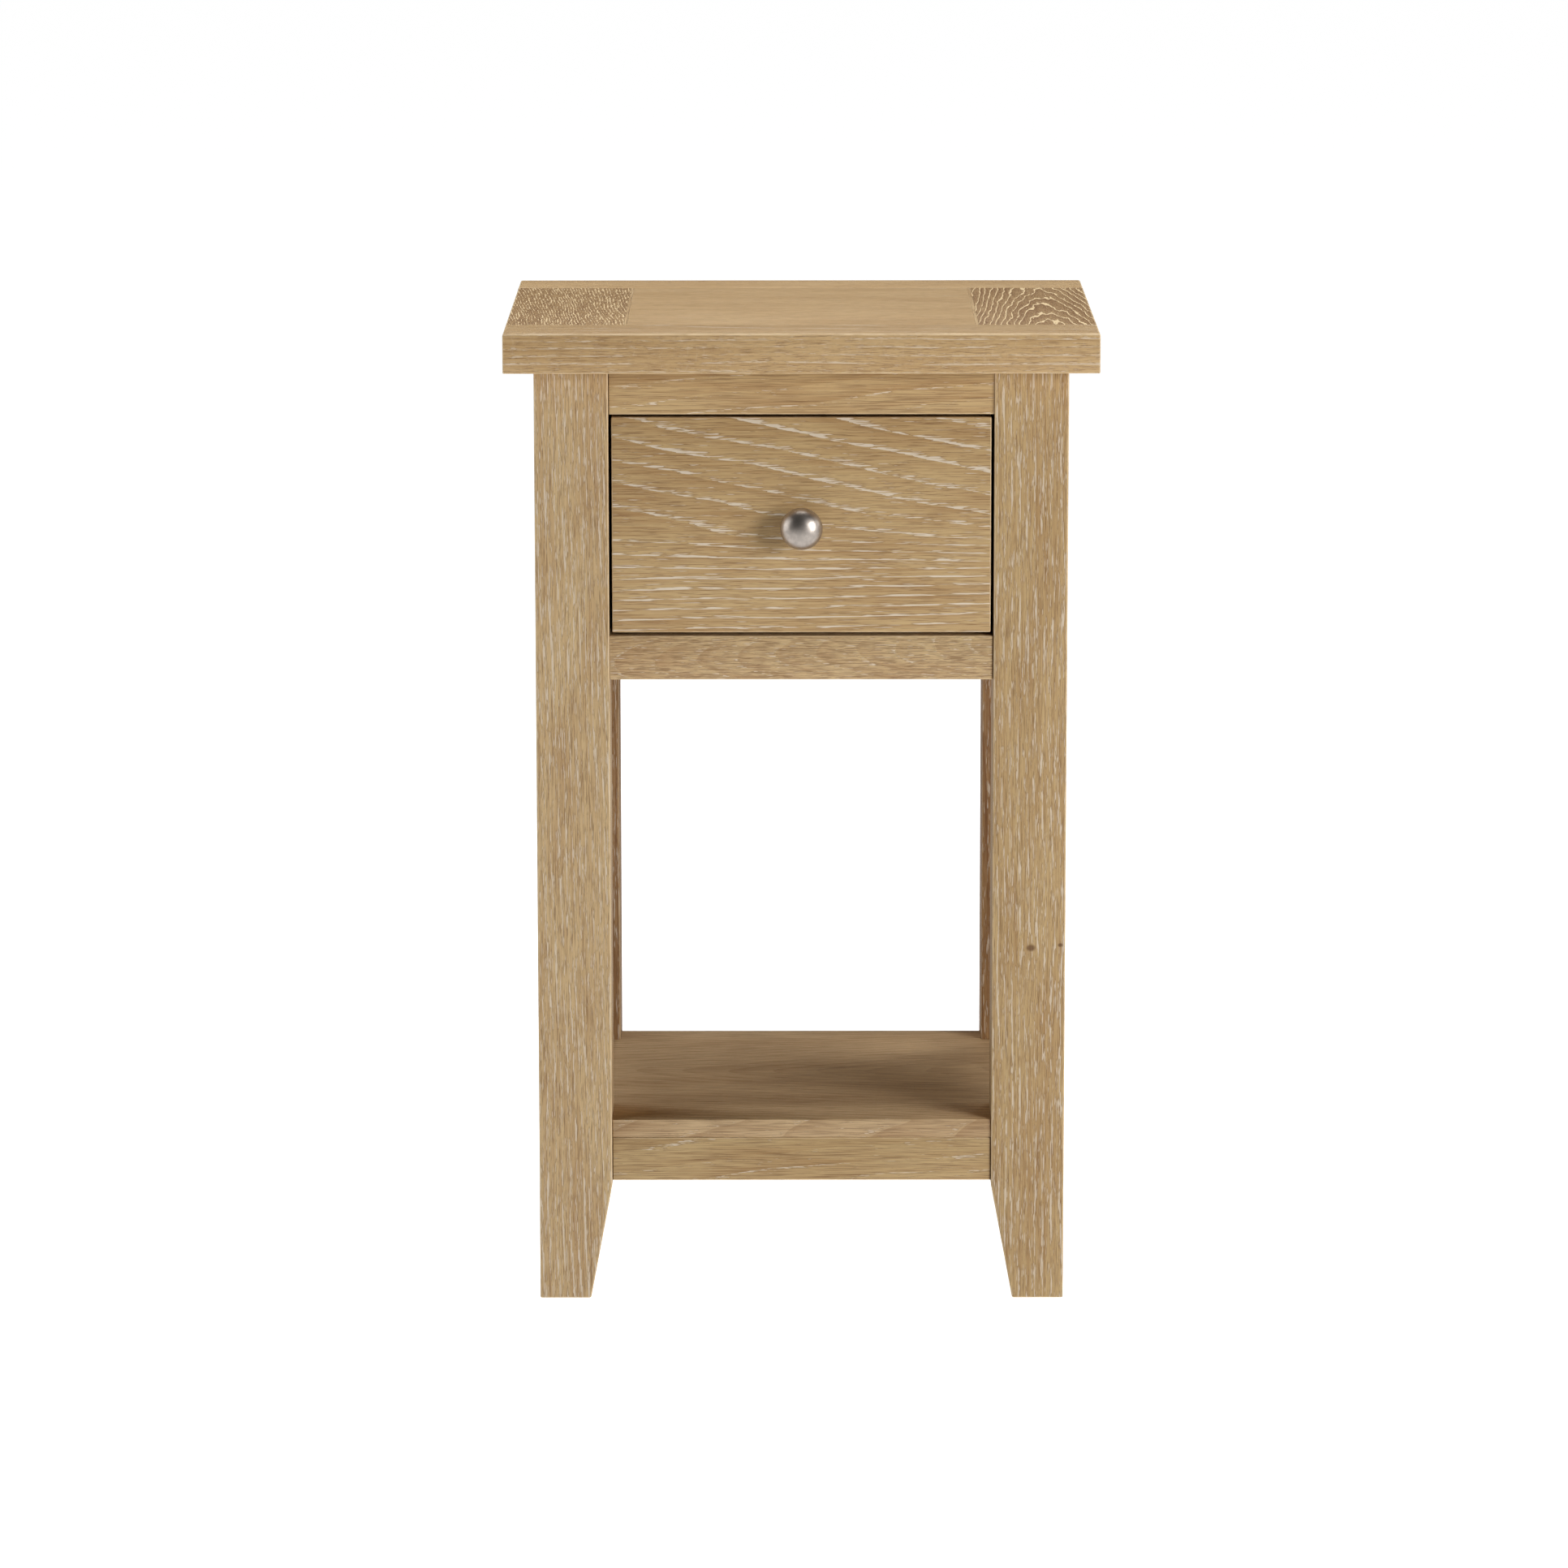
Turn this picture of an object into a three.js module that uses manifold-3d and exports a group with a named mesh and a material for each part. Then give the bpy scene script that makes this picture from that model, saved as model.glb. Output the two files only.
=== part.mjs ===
// Side table with one drawer and a low shelf, in solid limed oak.
// Four tapered legs are joined by tenoned rails and aprons. The top is two long boards with an infill
// between them: a long-grain field and a cross-grain board at each end, edged with an inlaid line.
// Millimetres. +X is the right-hand side, +Y the back and +Z up; the floor is at Z = 0.
import * as THREE from 'three';
import { mergeVertices } from 'three/addons/utils/BufferGeometryUtils.js';
import Module from 'manifold-3d';

const wasm = await Module();
wasm.setup();

// ---------------------------------------------------------------- driving dimensions

const WIDTH = 400;              // the top, side to side
const DEPTH = 320;              // the top, front to back
const HEIGHT = 670;             // floor to the top's upper face

const TOP_THICK = 27;
const LONG_BOARD = 50;          // front and back boards of the top, front to back
const END_BOARD = 80;           // cross-grain board at each end of the top, side to side
const STRING_WIDE = 2;          // inlaid line between the field and an end board
const STRING_DEEP = 3;
const TONGUE_THICK = 8;         // tongues that hold the infill in the long boards
const TONGUE_LONG = 10;
const TONGUE_STOP = 14;         // the tongues stop this far short of the top's ends
const SIDE_OVERHANG = 20;       // the top, past the legs
const FRONT_OVERHANG = 18;
const BACK_OVERHANG = 4;

const LEG = 50;                 // square section of a leg
const FOOT = 35;                // square section of a leg at the floor
const TAPER_DROP = 3;           // the taper starts this far below the lower rails

const RAIL_HIGH = 30;
const RAIL_THICK = 22;
const APRON_THICK = 20;
const SETBACK = 2;              // rails, aprons and drawer front, behind the legs' outer faces
const LOWER_RAIL_AT = 83;       // underside of the lower rails
const SHELF_THICK = 13;
const SHELF_INSET = 21;         // the shelf's back edge, in from the back of the legs
const TENON_LONG = 22;
const TENON_THICK = 9;
const TENON_SHOULDER = 5;       // above and below each tenon
const APRON_TENON_HIGH = 70;

const OPENING_HIGH = 151;       // drawer opening, between its two rails
const GAP_SIDE = 2;             // round the drawer front
const GAP_TOP = 2;
const GAP_BOTTOM = 2.5;
const DRAWER_FRONT_THICK = 20;
const DRAWER_SIDE_THICK = 12;
const DRAWER_BACK_THICK = 12;
const DRAWER_SIDE_DROP = 4;     // the sides' upper edge, below the opening's
const DRAWER_BACK_DROP = 11;    // the back's upper edge, below the sides'
const BEHIND_DRAWER = 22;       // drawer box to back apron, filled by the stops
const DRAWER_BACK_IN = 3;       // the back, in from the ends of the sides
const BOTTOM_THICK = 6;
const BOTTOM_UP = 8;            // drawer bottom, above the sides' lower edge
const GROOVE_DEEP = 4;          // housings for the drawer's bottom and back
const TAIL_COUNT = 3;           // dovetails on the front end of each drawer side
const TAIL_LONG = 14;
const TAIL_ROOT = 28;
const TAIL_SPLAY = 3;           // a tail widens by this on each edge

const RUNNER_HIGH = 20;
const RUNNER_LIP = 2;           // the runner reaches this far inside the drawer side
const GUIDE_HIGH = 20;
const STOP_HIGH = 30;

const KNOB_ACROSS = 28.5;
const KNOB_REACH = 27;          // from the drawer front
const KNOB_ROSE = 15;           // diameter of the foot against the drawer front
const KNOB_ROSE_THICK = 2;
const KNOB_NECK = 10.5;
const KNOB_NECK_AT = 4;         // the neck starts this far from the drawer front
const KNOB_WIDEST_AT = 17;
const KNOB_BACK = 9;            // the head's rounded back, behind its widest part
const KNOB_SCREW = 4;
const KNOB_SCREW_DEEP = 9;      // thread engaged in the knob
const KNOB_SCREW_HEAD = 2.4;    // height of the head, twice as wide as the thread
const WASHER_ACROSS = 12;
const WASHER_THICK = 1;

const SCREW_HEAD = 8;           // countersunk wood screws
const SCREW_SHANK = 4;
const SCREW_POINT = 5;
const SCREW_INSET = 40;         // along a part, from the legs it runs between
const SCREW_OFFSET = 24;        // runner screws, from the guide screws above them
const TOP_GRIP = 15;            // how far each screw goes into the second wood
const GUIDE_GRIP = 14;
const RUNNER_GRIP = 14;
const SHELF_GRIP = 8;

const GLUE = 0.1;               // between glued faces
const FIT = 0.3;                // round a tenon, tongue, tail or screw in its socket
const RUNNING = 0.4;            // under the drawer sides

// ---------------------------------------------------------------- planes of the frame

const underTop = HEIGHT - TOP_THICK;
const legOut = WIDTH / 2 - SIDE_OVERHANG;
const legIn = legOut - LEG;
const frontY = -DEPTH / 2 + FRONT_OVERHANG;
const backY = DEPTH / 2 - BACK_OVERHANG;
const frontLegBackY = frontY + LEG;
const backLegFrontY = backY - LEG;
const apronIn = legOut - SETBACK - APRON_THICK;
const faceY = frontY + SETBACK;
const railBackY = faceY + RAIL_THICK;
const backApronY = backY - SETBACK - APRON_THICK;

const openingTop = underTop - RAIL_HIGH;
const openingBottom = openingTop - OPENING_HIGH;
const apronBottom = openingBottom - RAIL_HIGH;
const shelfUnder = LOWER_RAIL_AT + RAIL_HIGH;
const shelfBackY = backY - SHELF_INSET;
const taperTop = LOWER_RAIL_AT - TAPER_DROP;

const boxOut = legIn - GAP_SIDE;
const boxIn = boxOut - DRAWER_SIDE_THICK;
const boxBackY = backApronY - BEHIND_DRAWER;
const frontBackY = faceY + DRAWER_FRONT_THICK;
const sideLow = openingBottom + RUNNING;
const sideTop = openingTop - DRAWER_SIDE_DROP;
const bottomLow = sideLow + BOTTOM_UP;
const frontLow = openingBottom + GAP_BOTTOM;
const frontTop = openingTop - GAP_TOP;
const knobZ = (frontLow + frontTop) / 2;

// ---------------------------------------------------------------- materials

const finish = (color, roughness, metalness = 0) =>
  new THREE.MeshStandardMaterial({ color, roughness, metalness });
const oak = finish(0xc2a273, 0.55);
const crossOak = finish(0xa88b62, 0.6);
const lining = finish(0xd8c39b, 0.7);
const nickel = finish(0xb9b6b0, 0.32, 1);
const steel = finish(0xc9b98a, 0.4, 1);

// ---------------------------------------------------------------- solids

// A closed three.js geometry as a solid that can be cut and joined.
function toSolid(geometry) {
  geometry.deleteAttribute('normal');
  geometry.deleteAttribute('uv');
  const merged = mergeVertices(geometry, 1e-4);
  return new wasm.Manifold(new wasm.Mesh({
    numProp: 3,
    vertProperties: merged.attributes.position.array,
    triVerts: new Uint32Array(merged.index.array),
  }));
}

// A box from its [low, high] span along each axis.
function block(...spans) {
  const [x, y, z] = spans.map(([low, high]) => ({ size: high - low, middle: (low + high) / 2 }));
  const geometry = new THREE.BoxGeometry(x.size, y.size, z.size);
  return toSolid(geometry.translate(x.middle, y.middle, z.middle));
}

// An upright outline swept along X, where its points are [y, z], or along Y, where they are [x, z].
function prism(points, axis, [from, to]) {
  const shape = new THREE.Shape(points.map(([across, up]) => new THREE.Vector2(across, up)));
  const geometry = new THREE.ExtrudeGeometry(shape, { depth: to - from, bevelEnabled: false });
  const alongX = axis === 'x';
  const basis = alongX
    ? [new THREE.Vector3(0, 1, 0), new THREE.Vector3(0, 0, 1), new THREE.Vector3(1, 0, 0)]
    : [new THREE.Vector3(1, 0, 0), new THREE.Vector3(0, 0, 1), new THREE.Vector3(0, -1, 0)];
  geometry.applyMatrix4(new THREE.Matrix4().makeBasis(...basis));
  return toSolid(geometry.translate(alongX ? from : 0, alongX ? 0 : to, 0));
}

// A turned solid: its profile is [radius, distance], measured from start along direction.
function turned(profile, start, direction, sides) {
  const points = profile.map(([radius, distance]) => new THREE.Vector2(radius, distance));
  const geometry = new THREE.LatheGeometry(points, sides);
  const turn = new THREE.Quaternion().setFromUnitVectors(new THREE.Vector3(0, 1, 0), direction);
  return toSolid(geometry.applyQuaternion(turn).translate(...start));
}

const BACKWARD = new THREE.Vector3(0, 1, 0);
const FORWARD = new THREE.Vector3(0, -1, 0);
const UP = new THREE.Vector3(0, 0, 1);
const DOWN = new THREE.Vector3(0, 0, -1);
const outward = (side) => new THREE.Vector3(side, 0, 0);

const grown = (spans, by) => spans.map(([low, high]) => [low - by, high + by]);
const onSide = (side, near, far) => (side > 0 ? [near, far] : [-far, -near]);
const both = (half) => [-half, half];

// The pieces made so far, by name. Joints cut and extend them until they become meshes.
const pieces = new Map();
const add = (name, solid, material, group) => pieces.set(name, { solid, material, group });
const cut = (name, tool) => {
  const piece = pieces.get(name);
  piece.solid = piece.solid.subtract(tool);
};
const join = (name, extra) => {
  const piece = pieces.get(name);
  piece.solid = piece.solid.add(extra);
};

const carcass = new THREE.Group();
const drawer = new THREE.Group();
const SIDES = [['left', -1], ['right', 1]];

// ---------------------------------------------------------------- legs

// A leg that is square above taperTop and draws in on its two inner faces to the foot.
function leg(side, front) {
  const outX = side * legOut;
  const inX = side * legIn;
  const footX = side * (legOut - FOOT);
  const [outY, inY] = front ? [frontY, frontLegBackY] : [backY, backLegFrontY];
  const footY = outY + Math.sign(inY - outY) * FOOT;
  const top = underTop - GLUE;
  const outline = (out, inner, foot) => [[out, 0], [foot, 0], [inner, taperTop], [inner, top], [out, top]];
  const ySpan = [Math.min(outY, inY), Math.max(outY, inY)];
  return prism(outline(outX, inX, footX), 'y', ySpan)
    .intersect(prism(outline(outY, inY, footY), 'x', onSide(side, legIn, legOut)));
}

for (const [word, side] of SIDES) {
  add(`leg_front_${word}`, leg(side, true), oak, carcass);
  add(`leg_back_${word}`, leg(side, false), oak, carcass);
}

// The space that the front and back legs take on one side, with a glue gap, at any height.
function legSpace(side, zSpan) {
  const x = onSide(side, legIn - GLUE, legOut + GLUE);
  return block(x, [frontY - GLUE, frontLegBackY + GLUE], zSpan)
    .add(block(x, [backLegFrontY - GLUE, backY + GLUE], zSpan));
}

// ---------------------------------------------------------------- rails and aprons

// Extends a piece by a tenon and cuts the mortise for it.
function tenon(piece, legName, spans) {
  join(piece, block(...spans));
  cut(legName, block(...grown(spans, FIT)));
}

const ROOT = 1;                 // a tenon starts this far inside its own piece

// A rail or apron between the left and right legs, with its tenons at the given heights.
function crossRail(name, legWord, ySpan, zSpan, tenonHeights) {
  add(name, block(both(legIn - GLUE), ySpan, zSpan), oak, carcass);
  const middle = (ySpan[0] + ySpan[1]) / 2;
  const y = [middle - TENON_THICK / 2, middle + TENON_THICK / 2];
  for (const [word, side] of SIDES) {
    const x = onSide(side, legIn - ROOT, legIn + TENON_LONG);
    for (const z of tenonHeights) tenon(name, `leg_${legWord}_${word}`, [x, y, z]);
  }
}

// A rail or apron between the front and back legs of one side.
function sideRail(name, word, side, thick, zSpan, tenonHeights) {
  const out = legOut - SETBACK;
  const x = onSide(side, out - thick, out);
  add(name, block(x, [frontLegBackY + GLUE, backLegFrontY - GLUE], zSpan), oak, carcass);
  const tenonX = onSide(side, out - (thick + TENON_THICK) / 2, out - (thick - TENON_THICK) / 2);
  for (const z of tenonHeights) {
    tenon(name, `leg_front_${word}`, [tenonX, [frontLegBackY - TENON_LONG, frontLegBackY + ROOT], z]);
    tenon(name, `leg_back_${word}`, [tenonX, [backLegFrontY - ROOT, backLegFrontY + TENON_LONG], z]);
  }
}

const shouldered = ([low, high]) => [[low + TENON_SHOULDER, high - TENON_SHOULDER]];
const apronTenons = ([low, high]) => [
  [low + TENON_SHOULDER, low + TENON_SHOULDER + APRON_TENON_HIGH],
  [high - TENON_SHOULDER - APRON_TENON_HIGH, high - TENON_SHOULDER],
];

const railY = [faceY, railBackY];
const topRailZ = [openingTop, underTop - GLUE];
const drawerRailZ = [apronBottom, openingBottom];
const lowerRailZ = [LOWER_RAIL_AT, shelfUnder];
const apronZ = [apronBottom, underTop - GLUE];

crossRail('top_rail', 'front', railY, topRailZ, shouldered(topRailZ));
crossRail('drawer_rail', 'front', railY, drawerRailZ, shouldered(drawerRailZ));
crossRail('lower_rail_front', 'front', railY, lowerRailZ, shouldered(lowerRailZ));
crossRail('lower_rail_back', 'back', [shelfBackY - RAIL_THICK, shelfBackY], lowerRailZ,
  shouldered(lowerRailZ));
crossRail('apron_back', 'back', [backApronY, backApronY + APRON_THICK], apronZ, apronTenons(apronZ));
for (const [word, side] of SIDES) {
  sideRail(`lower_rail_${word}`, word, side, RAIL_THICK, lowerRailZ, shouldered(lowerRailZ));
  sideRail(`apron_${word}`, word, side, APRON_THICK, apronZ, apronTenons(apronZ));
}

// ---------------------------------------------------------------- shelf

const shelfZ = [shelfUnder + GLUE, shelfUnder + GLUE + SHELF_THICK];
const notchZ = grown([shelfZ], 1)[0];
const shelfBoard = block(both(legOut - SETBACK), [faceY, shelfBackY], shelfZ);
add('shelf', SIDES.reduce((board, [, side]) => board.subtract(legSpace(side, notchZ)), shelfBoard),
  oak, carcass);

// ---------------------------------------------------------------- top

const topZ = [underTop, HEIGHT];
const infillY = DEPTH / 2 - LONG_BOARD;
const endIn = WIDTH / 2 - END_BOARD;
const tongueMiddle = underTop + TOP_THICK / 2;
const tongueZ = [tongueMiddle - TONGUE_THICK / 2, tongueMiddle + TONGUE_THICK / 2];

add('top_board_front', block(both(WIDTH / 2), [-DEPTH / 2, -infillY - GLUE], topZ), oak, carcass);
add('top_board_back', block(both(WIDTH / 2), [infillY + GLUE, DEPTH / 2], topZ), oak, carcass);

// An infill board of the top, with a tongue in each long board.
function infill(name, xSpan, tongueX, material) {
  add(name, block(xSpan, both(infillY), topZ).add(block(tongueX, both(infillY + TONGUE_LONG), tongueZ)),
    material, carcass);
}

const stringX = (side) => onSide(side, endIn - STRING_WIDE, endIn);
const stringZ = [HEIGHT - STRING_DEEP, HEIGHT];
infill('top_field', both(endIn - GLUE), both(endIn - GLUE), oak);
for (const [word, side] of SIDES) {
  infill(`top_end_${word}`, onSide(side, endIn, WIDTH / 2),
    onSide(side, endIn, WIDTH / 2 - TONGUE_STOP), crossOak);
  cut('top_field', block(stringX(side), both(DEPTH), [stringZ[0] - GLUE, HEIGHT + 1]));
  const [near, far] = stringX(side);
  add(`top_string_${word}`, block([near + GLUE, far - GLUE], both(infillY), stringZ), crossOak, carcass);
}
const groove = block(...grown([both(WIDTH / 2 - TONGUE_STOP), both(infillY + TONGUE_LONG), tongueZ], FIT));
for (const word of ['front', 'back']) cut(`top_board_${word}`, groove);

// ---------------------------------------------------------------- runners, guides, kickers and stops

// A strip along one side of the drawer, notched round the legs that it passes.
function strip(side, xSpan, zSpan) {
  const ySpan = [railBackY + GLUE, backApronY - GLUE];
  return block(onSide(side, ...xSpan), ySpan, zSpan).subtract(legSpace(side, grown([zSpan], 1)[0]));
}

const stripIn = boxIn - RUNNER_LIP;
const runnerZ = [openingBottom - RUNNER_HIGH, openingBottom];
const guideLow = openingBottom + GLUE;
for (const [word, side] of SIDES) {
  const beside = onSide(side, legIn, apronIn - GLUE);
  const between = [frontLegBackY + GLUE, backLegFrontY - GLUE];
  add(`runner_${word}`, strip(side, [stripIn, apronIn - GLUE], runnerZ), lining, carcass);
  add(`kicker_${word}`, strip(side, [stripIn, apronIn - GLUE], topRailZ), lining, carcass);
  add(`guide_${word}`, block(beside, between, [guideLow, guideLow + GUIDE_HIGH]), lining, carcass);
  add(`drawer_stop_${word}`, block(onSide(side, boxIn, boxOut), [boxBackY + FIT, backApronY - GLUE],
    [guideLow, guideLow + STOP_HIGH]), lining, carcass);
}

// ---------------------------------------------------------------- drawer

const tailPitch = (sideTop - sideLow) / TAIL_COUNT;

// The dovetails of one drawer side, each larger by extra on every face that lies in the front.
function tails(side, extra) {
  const tipY = frontBackY - TAIL_LONG - extra;
  const rootHalf = TAIL_ROOT / 2 + extra;
  const tipHalf = rootHalf + TAIL_SPLAY;
  const x = onSide(side, boxIn - extra, boxOut + extra);
  const outline = (z) => [[frontBackY + ROOT, z - rootHalf], [frontBackY + ROOT, z + rootHalf],
    [frontBackY, z + rootHalf], [tipY, z + tipHalf], [tipY, z - tipHalf], [frontBackY, z - rootHalf]];
  return Array.from({ length: TAIL_COUNT }, (_, i) => sideLow + (i + 0.5) * tailPitch)
    .map((z) => prism(outline(z), 'x', x))
    .reduce((all, one) => all.add(one));
}

const housedX = both(boxIn + GROOVE_DEEP - FIT);
const backBackY = boxBackY - DRAWER_BACK_IN;
const bottomSpans = [housedX, [frontBackY - GROOVE_DEEP + FIT, backBackY],
  [bottomLow, bottomLow + BOTTOM_THICK]];
const backSpans = [housedX, [backBackY - DRAWER_BACK_THICK, backBackY],
  [bottomLow + BOTTOM_THICK + FIT, sideTop - DRAWER_BACK_DROP]];
const bottomGroove = block(...grown(bottomSpans, FIT));
const [housingX, housingY, [housingLow]] = grown(backSpans, FIT);
const backHousing = block(housingX, housingY, [housingLow, sideTop + 1]);

add('drawer_front', block(both(boxOut), [faceY, frontBackY], [frontLow, frontTop]), oak, drawer);
add('drawer_bottom', block(...bottomSpans), lining, drawer);
add('drawer_back', block(...backSpans), lining, drawer);
cut('drawer_front', bottomGroove);
for (const [word, side] of SIDES) {
  const name = `drawer_side_${word}`;
  const x = onSide(side, boxIn, boxOut);
  add(name, block(x, [frontBackY + GLUE, boxBackY], [sideLow, sideTop]), lining, drawer);
  join(name, tails(side, 0));
  cut(name, bottomGroove);
  cut(name, backHousing);
  cut('drawer_front', tails(side, FIT));
}

// ---------------------------------------------------------------- knob and its screw

const rod = (radius, length) => [[0, 0], [radius, 0], [radius, length], [0, length]];

// The knob's outline from its foot: a rose, a waist, and a head of two half-ellipses.
function knobProfile() {
  const radius = KNOB_ACROSS / 2;
  const steps = 18;
  const first = -Math.acos(KNOB_NECK / KNOB_ACROSS);
  const head = Array.from({ length: steps }, (_, i) => {
    const angle = first + (i / steps) * (Math.PI / 2 - first);
    const half = angle < 0 ? KNOB_BACK : KNOB_REACH - KNOB_WIDEST_AT;
    return [radius * Math.cos(angle), KNOB_WIDEST_AT + half * Math.sin(angle)];
  });
  const rose = KNOB_ROSE / 2;
  const rounding = KNOB_ROSE_THICK / 2;
  return [[0, 0], [rose, 0], [rose, rounding], [rose - rounding, KNOB_ROSE_THICK],
    [KNOB_NECK / 2, KNOB_NECK_AT], ...head, [0, KNOB_REACH]];
}

const knobFoot = [0, faceY - GLUE, knobZ];
const washerY = frontBackY + GLUE;
const screwHeadY = washerY + WASHER_THICK + GLUE;
const screwTipY = knobFoot[1] - KNOB_SCREW_DEEP;
const shankRadius = KNOB_SCREW / 2;
const shankLong = screwHeadY - screwTipY;

add('knob', turned(knobProfile(), knobFoot, FORWARD, 40), nickel, drawer);
add('knob_washer', turned(rod(WASHER_ACROSS / 2, WASHER_THICK), [0, washerY, knobZ], BACKWARD, 24),
  steel, drawer);
add('knob_screw', turned(rod(shankRadius, shankLong), [0, screwTipY, knobZ], BACKWARD, 16)
  .add(turned(rod(KNOB_SCREW, KNOB_SCREW_HEAD), [0, screwHeadY, knobZ], BACKWARD, 16)), steel, drawer);
const screwWay = turned(rod(shankRadius + FIT, shankLong + FIT), [0, screwTipY - FIT, knobZ], BACKWARD, 16);
for (const name of ['drawer_front', 'knob', 'knob_washer']) cut(name, screwWay);

// ---------------------------------------------------------------- wood screws

// A countersunk screw through the first wood and grip deep into the second, with its hole in both.
// Its head is flush with the first wood at start.
function woodScrew(name, start, direction, through, grip, woods) {
  const length = through + grip;
  const head = SCREW_HEAD / 2;
  const shank = SCREW_SHANK / 2;
  const profile = [[0, 0], [head, 0], [shank, head - shank], [shank, length - SCREW_POINT], [0, length]];
  const hole = [[0, -FIT], [head + FIT, -FIT], [head + FIT, 0], [shank + FIT, head - shank],
    [shank + FIT, length + FIT], [0, length + FIT]];
  add(name, turned(profile, start, direction, 12), steel, carcass);
  const way = turned(hole, start, direction, 12);
  for (const wood of woods) cut(wood, way);
}

const screwYs = [frontLegBackY + SCREW_INSET, backLegFrontY - SCREW_INSET];
const besideX = (legIn + apronIn) / 2;
const lowerRailX = legOut - SETBACK - RAIL_THICK / 2;
for (const [word, side] of SIDES) {
  screwYs.forEach((y, i) => {
    const number = i + 1;
    woodScrew(`top_screw_${word}_${number}`, [side * besideX, y, openingTop], UP, RAIL_HIGH,
      TOP_GRIP, [`kicker_${word}`, `top_end_${word}`]);
    woodScrew(`guide_screw_${word}_${number}`, [side * besideX, y, guideLow + GUIDE_HIGH], DOWN,
      GUIDE_HIGH, GUIDE_GRIP, [`guide_${word}`, `runner_${word}`]);
    woodScrew(`shelf_screw_${word}_${number}`, [side * lowerRailX, y, LOWER_RAIL_AT], UP, RAIL_HIGH,
      SHELF_GRIP, [`lower_rail_${word}`, 'shelf']);
    const runnerY = y + (i ? -SCREW_OFFSET : SCREW_OFFSET);
    woodScrew(`runner_screw_${word}_${number}`, [side * stripIn, runnerY, openingBottom - RUNNER_HIGH / 2],
      outward(side), apronIn - stripIn, RUNNER_GRIP, [`runner_${word}`, `apron_${word}`]);
  });
}

// ---------------------------------------------------------------- the finished table

function toMesh(name, { solid, material }) {
  const { numProp, vertProperties, triVerts } = solid.getMesh();
  const geometry = new THREE.BufferGeometry();
  geometry.setAttribute('position', new THREE.BufferAttribute(vertProperties, numProp));
  geometry.setIndex(new THREE.BufferAttribute(triVerts, 1));
  geometry.computeVertexNormals();
  const mesh = new THREE.Mesh(geometry, material);
  mesh.name = name;
  return mesh;
}

for (const [name, piece] of pieces) piece.group.add(toMesh(name, piece));

// The origin is on the floor, under the middle of the whole table with its knob.
const foremost = Math.min(-DEPTH / 2, knobFoot[1] - KNOB_REACH);
const table = new THREE.Group();
table.add(carcass, drawer);
table.position.y = -(foremost + DEPTH / 2) / 2;

export default table;
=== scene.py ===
"""Side table with drawer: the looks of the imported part, in metres, in the part's own frame."""

import math

import bmesh
import bpy
from mathutils import Euler, Matrix, Vector


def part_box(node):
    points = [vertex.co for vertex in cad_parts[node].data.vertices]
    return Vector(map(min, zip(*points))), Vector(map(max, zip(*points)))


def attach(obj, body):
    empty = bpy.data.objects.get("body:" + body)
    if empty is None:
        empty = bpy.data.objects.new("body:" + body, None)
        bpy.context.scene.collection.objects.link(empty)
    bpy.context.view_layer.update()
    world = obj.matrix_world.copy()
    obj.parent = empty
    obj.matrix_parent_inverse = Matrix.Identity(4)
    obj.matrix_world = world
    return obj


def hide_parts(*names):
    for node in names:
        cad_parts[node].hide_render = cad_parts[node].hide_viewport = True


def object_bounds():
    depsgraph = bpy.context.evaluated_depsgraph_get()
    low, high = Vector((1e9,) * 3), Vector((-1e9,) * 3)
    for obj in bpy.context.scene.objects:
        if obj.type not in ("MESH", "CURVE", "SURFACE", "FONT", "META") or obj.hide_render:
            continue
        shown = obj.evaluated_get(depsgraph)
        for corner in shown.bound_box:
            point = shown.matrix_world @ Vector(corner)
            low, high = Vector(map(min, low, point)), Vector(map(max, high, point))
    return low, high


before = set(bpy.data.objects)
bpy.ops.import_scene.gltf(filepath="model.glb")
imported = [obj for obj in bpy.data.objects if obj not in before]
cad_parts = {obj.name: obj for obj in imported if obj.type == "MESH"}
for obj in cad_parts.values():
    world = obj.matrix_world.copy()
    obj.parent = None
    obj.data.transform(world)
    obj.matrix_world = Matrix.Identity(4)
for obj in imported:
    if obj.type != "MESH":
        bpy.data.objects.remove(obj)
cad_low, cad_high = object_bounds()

MM = 0.001
PER_METRE_MM = 1000.0
FRONTWARD, BACKWARD, RIGHTWARD = (0, -1, 0), (0, 1, 0), (1, 0, 0)
UPWARD, DOWNWARD = (0, 0, 1), (0, 0, -1)


def linear(red, green, blue):
    """A colour given in ordinary display values of 0 to 255, as the shader's linear colour."""
    shares = [value / 255 for value in (red, green, blue)]
    lit = [share / 12.92 if share <= 0.04045 else ((share + 0.055) / 1.055) ** 2.4 for share in shares]
    return (*lit, 1.0)


# ---------------------------------------------------------------- node helpers
def feed(tree, node, given):
    """Links each given socket to the node's input, or sets the input to the given value."""
    for key, value in given.items():
        if isinstance(value, bpy.types.NodeSocket):
            tree.links.new(value, node.inputs[key])
        else:
            node.inputs[key].default_value = value


def lay(tree, kind, inputs=None, **settings):
    """A new node, with its settings, and its inputs given as numbers or as other nodes' sockets."""
    made = tree.nodes.new(kind)
    for name, value in settings.items():
        setattr(made, name, value)
    feed(tree, made, inputs or {})
    return made


def sums(tree, operation, *values, clamp=False):
    """One step of arithmetic on numbers or sockets."""
    inputs = dict(enumerate(values))
    return lay(tree, "ShaderNodeMath", inputs, operation=operation, use_clamp=clamp).outputs[0]


def vectors(tree, operation, *values):
    """One step of vector arithmetic; LENGTH gives a number and the rest give a vector."""
    made = lay(tree, "ShaderNodeVectorMath", dict(enumerate(values)), operation=operation)
    return made.outputs["Value"] if operation == "LENGTH" else made.outputs[0]


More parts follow.
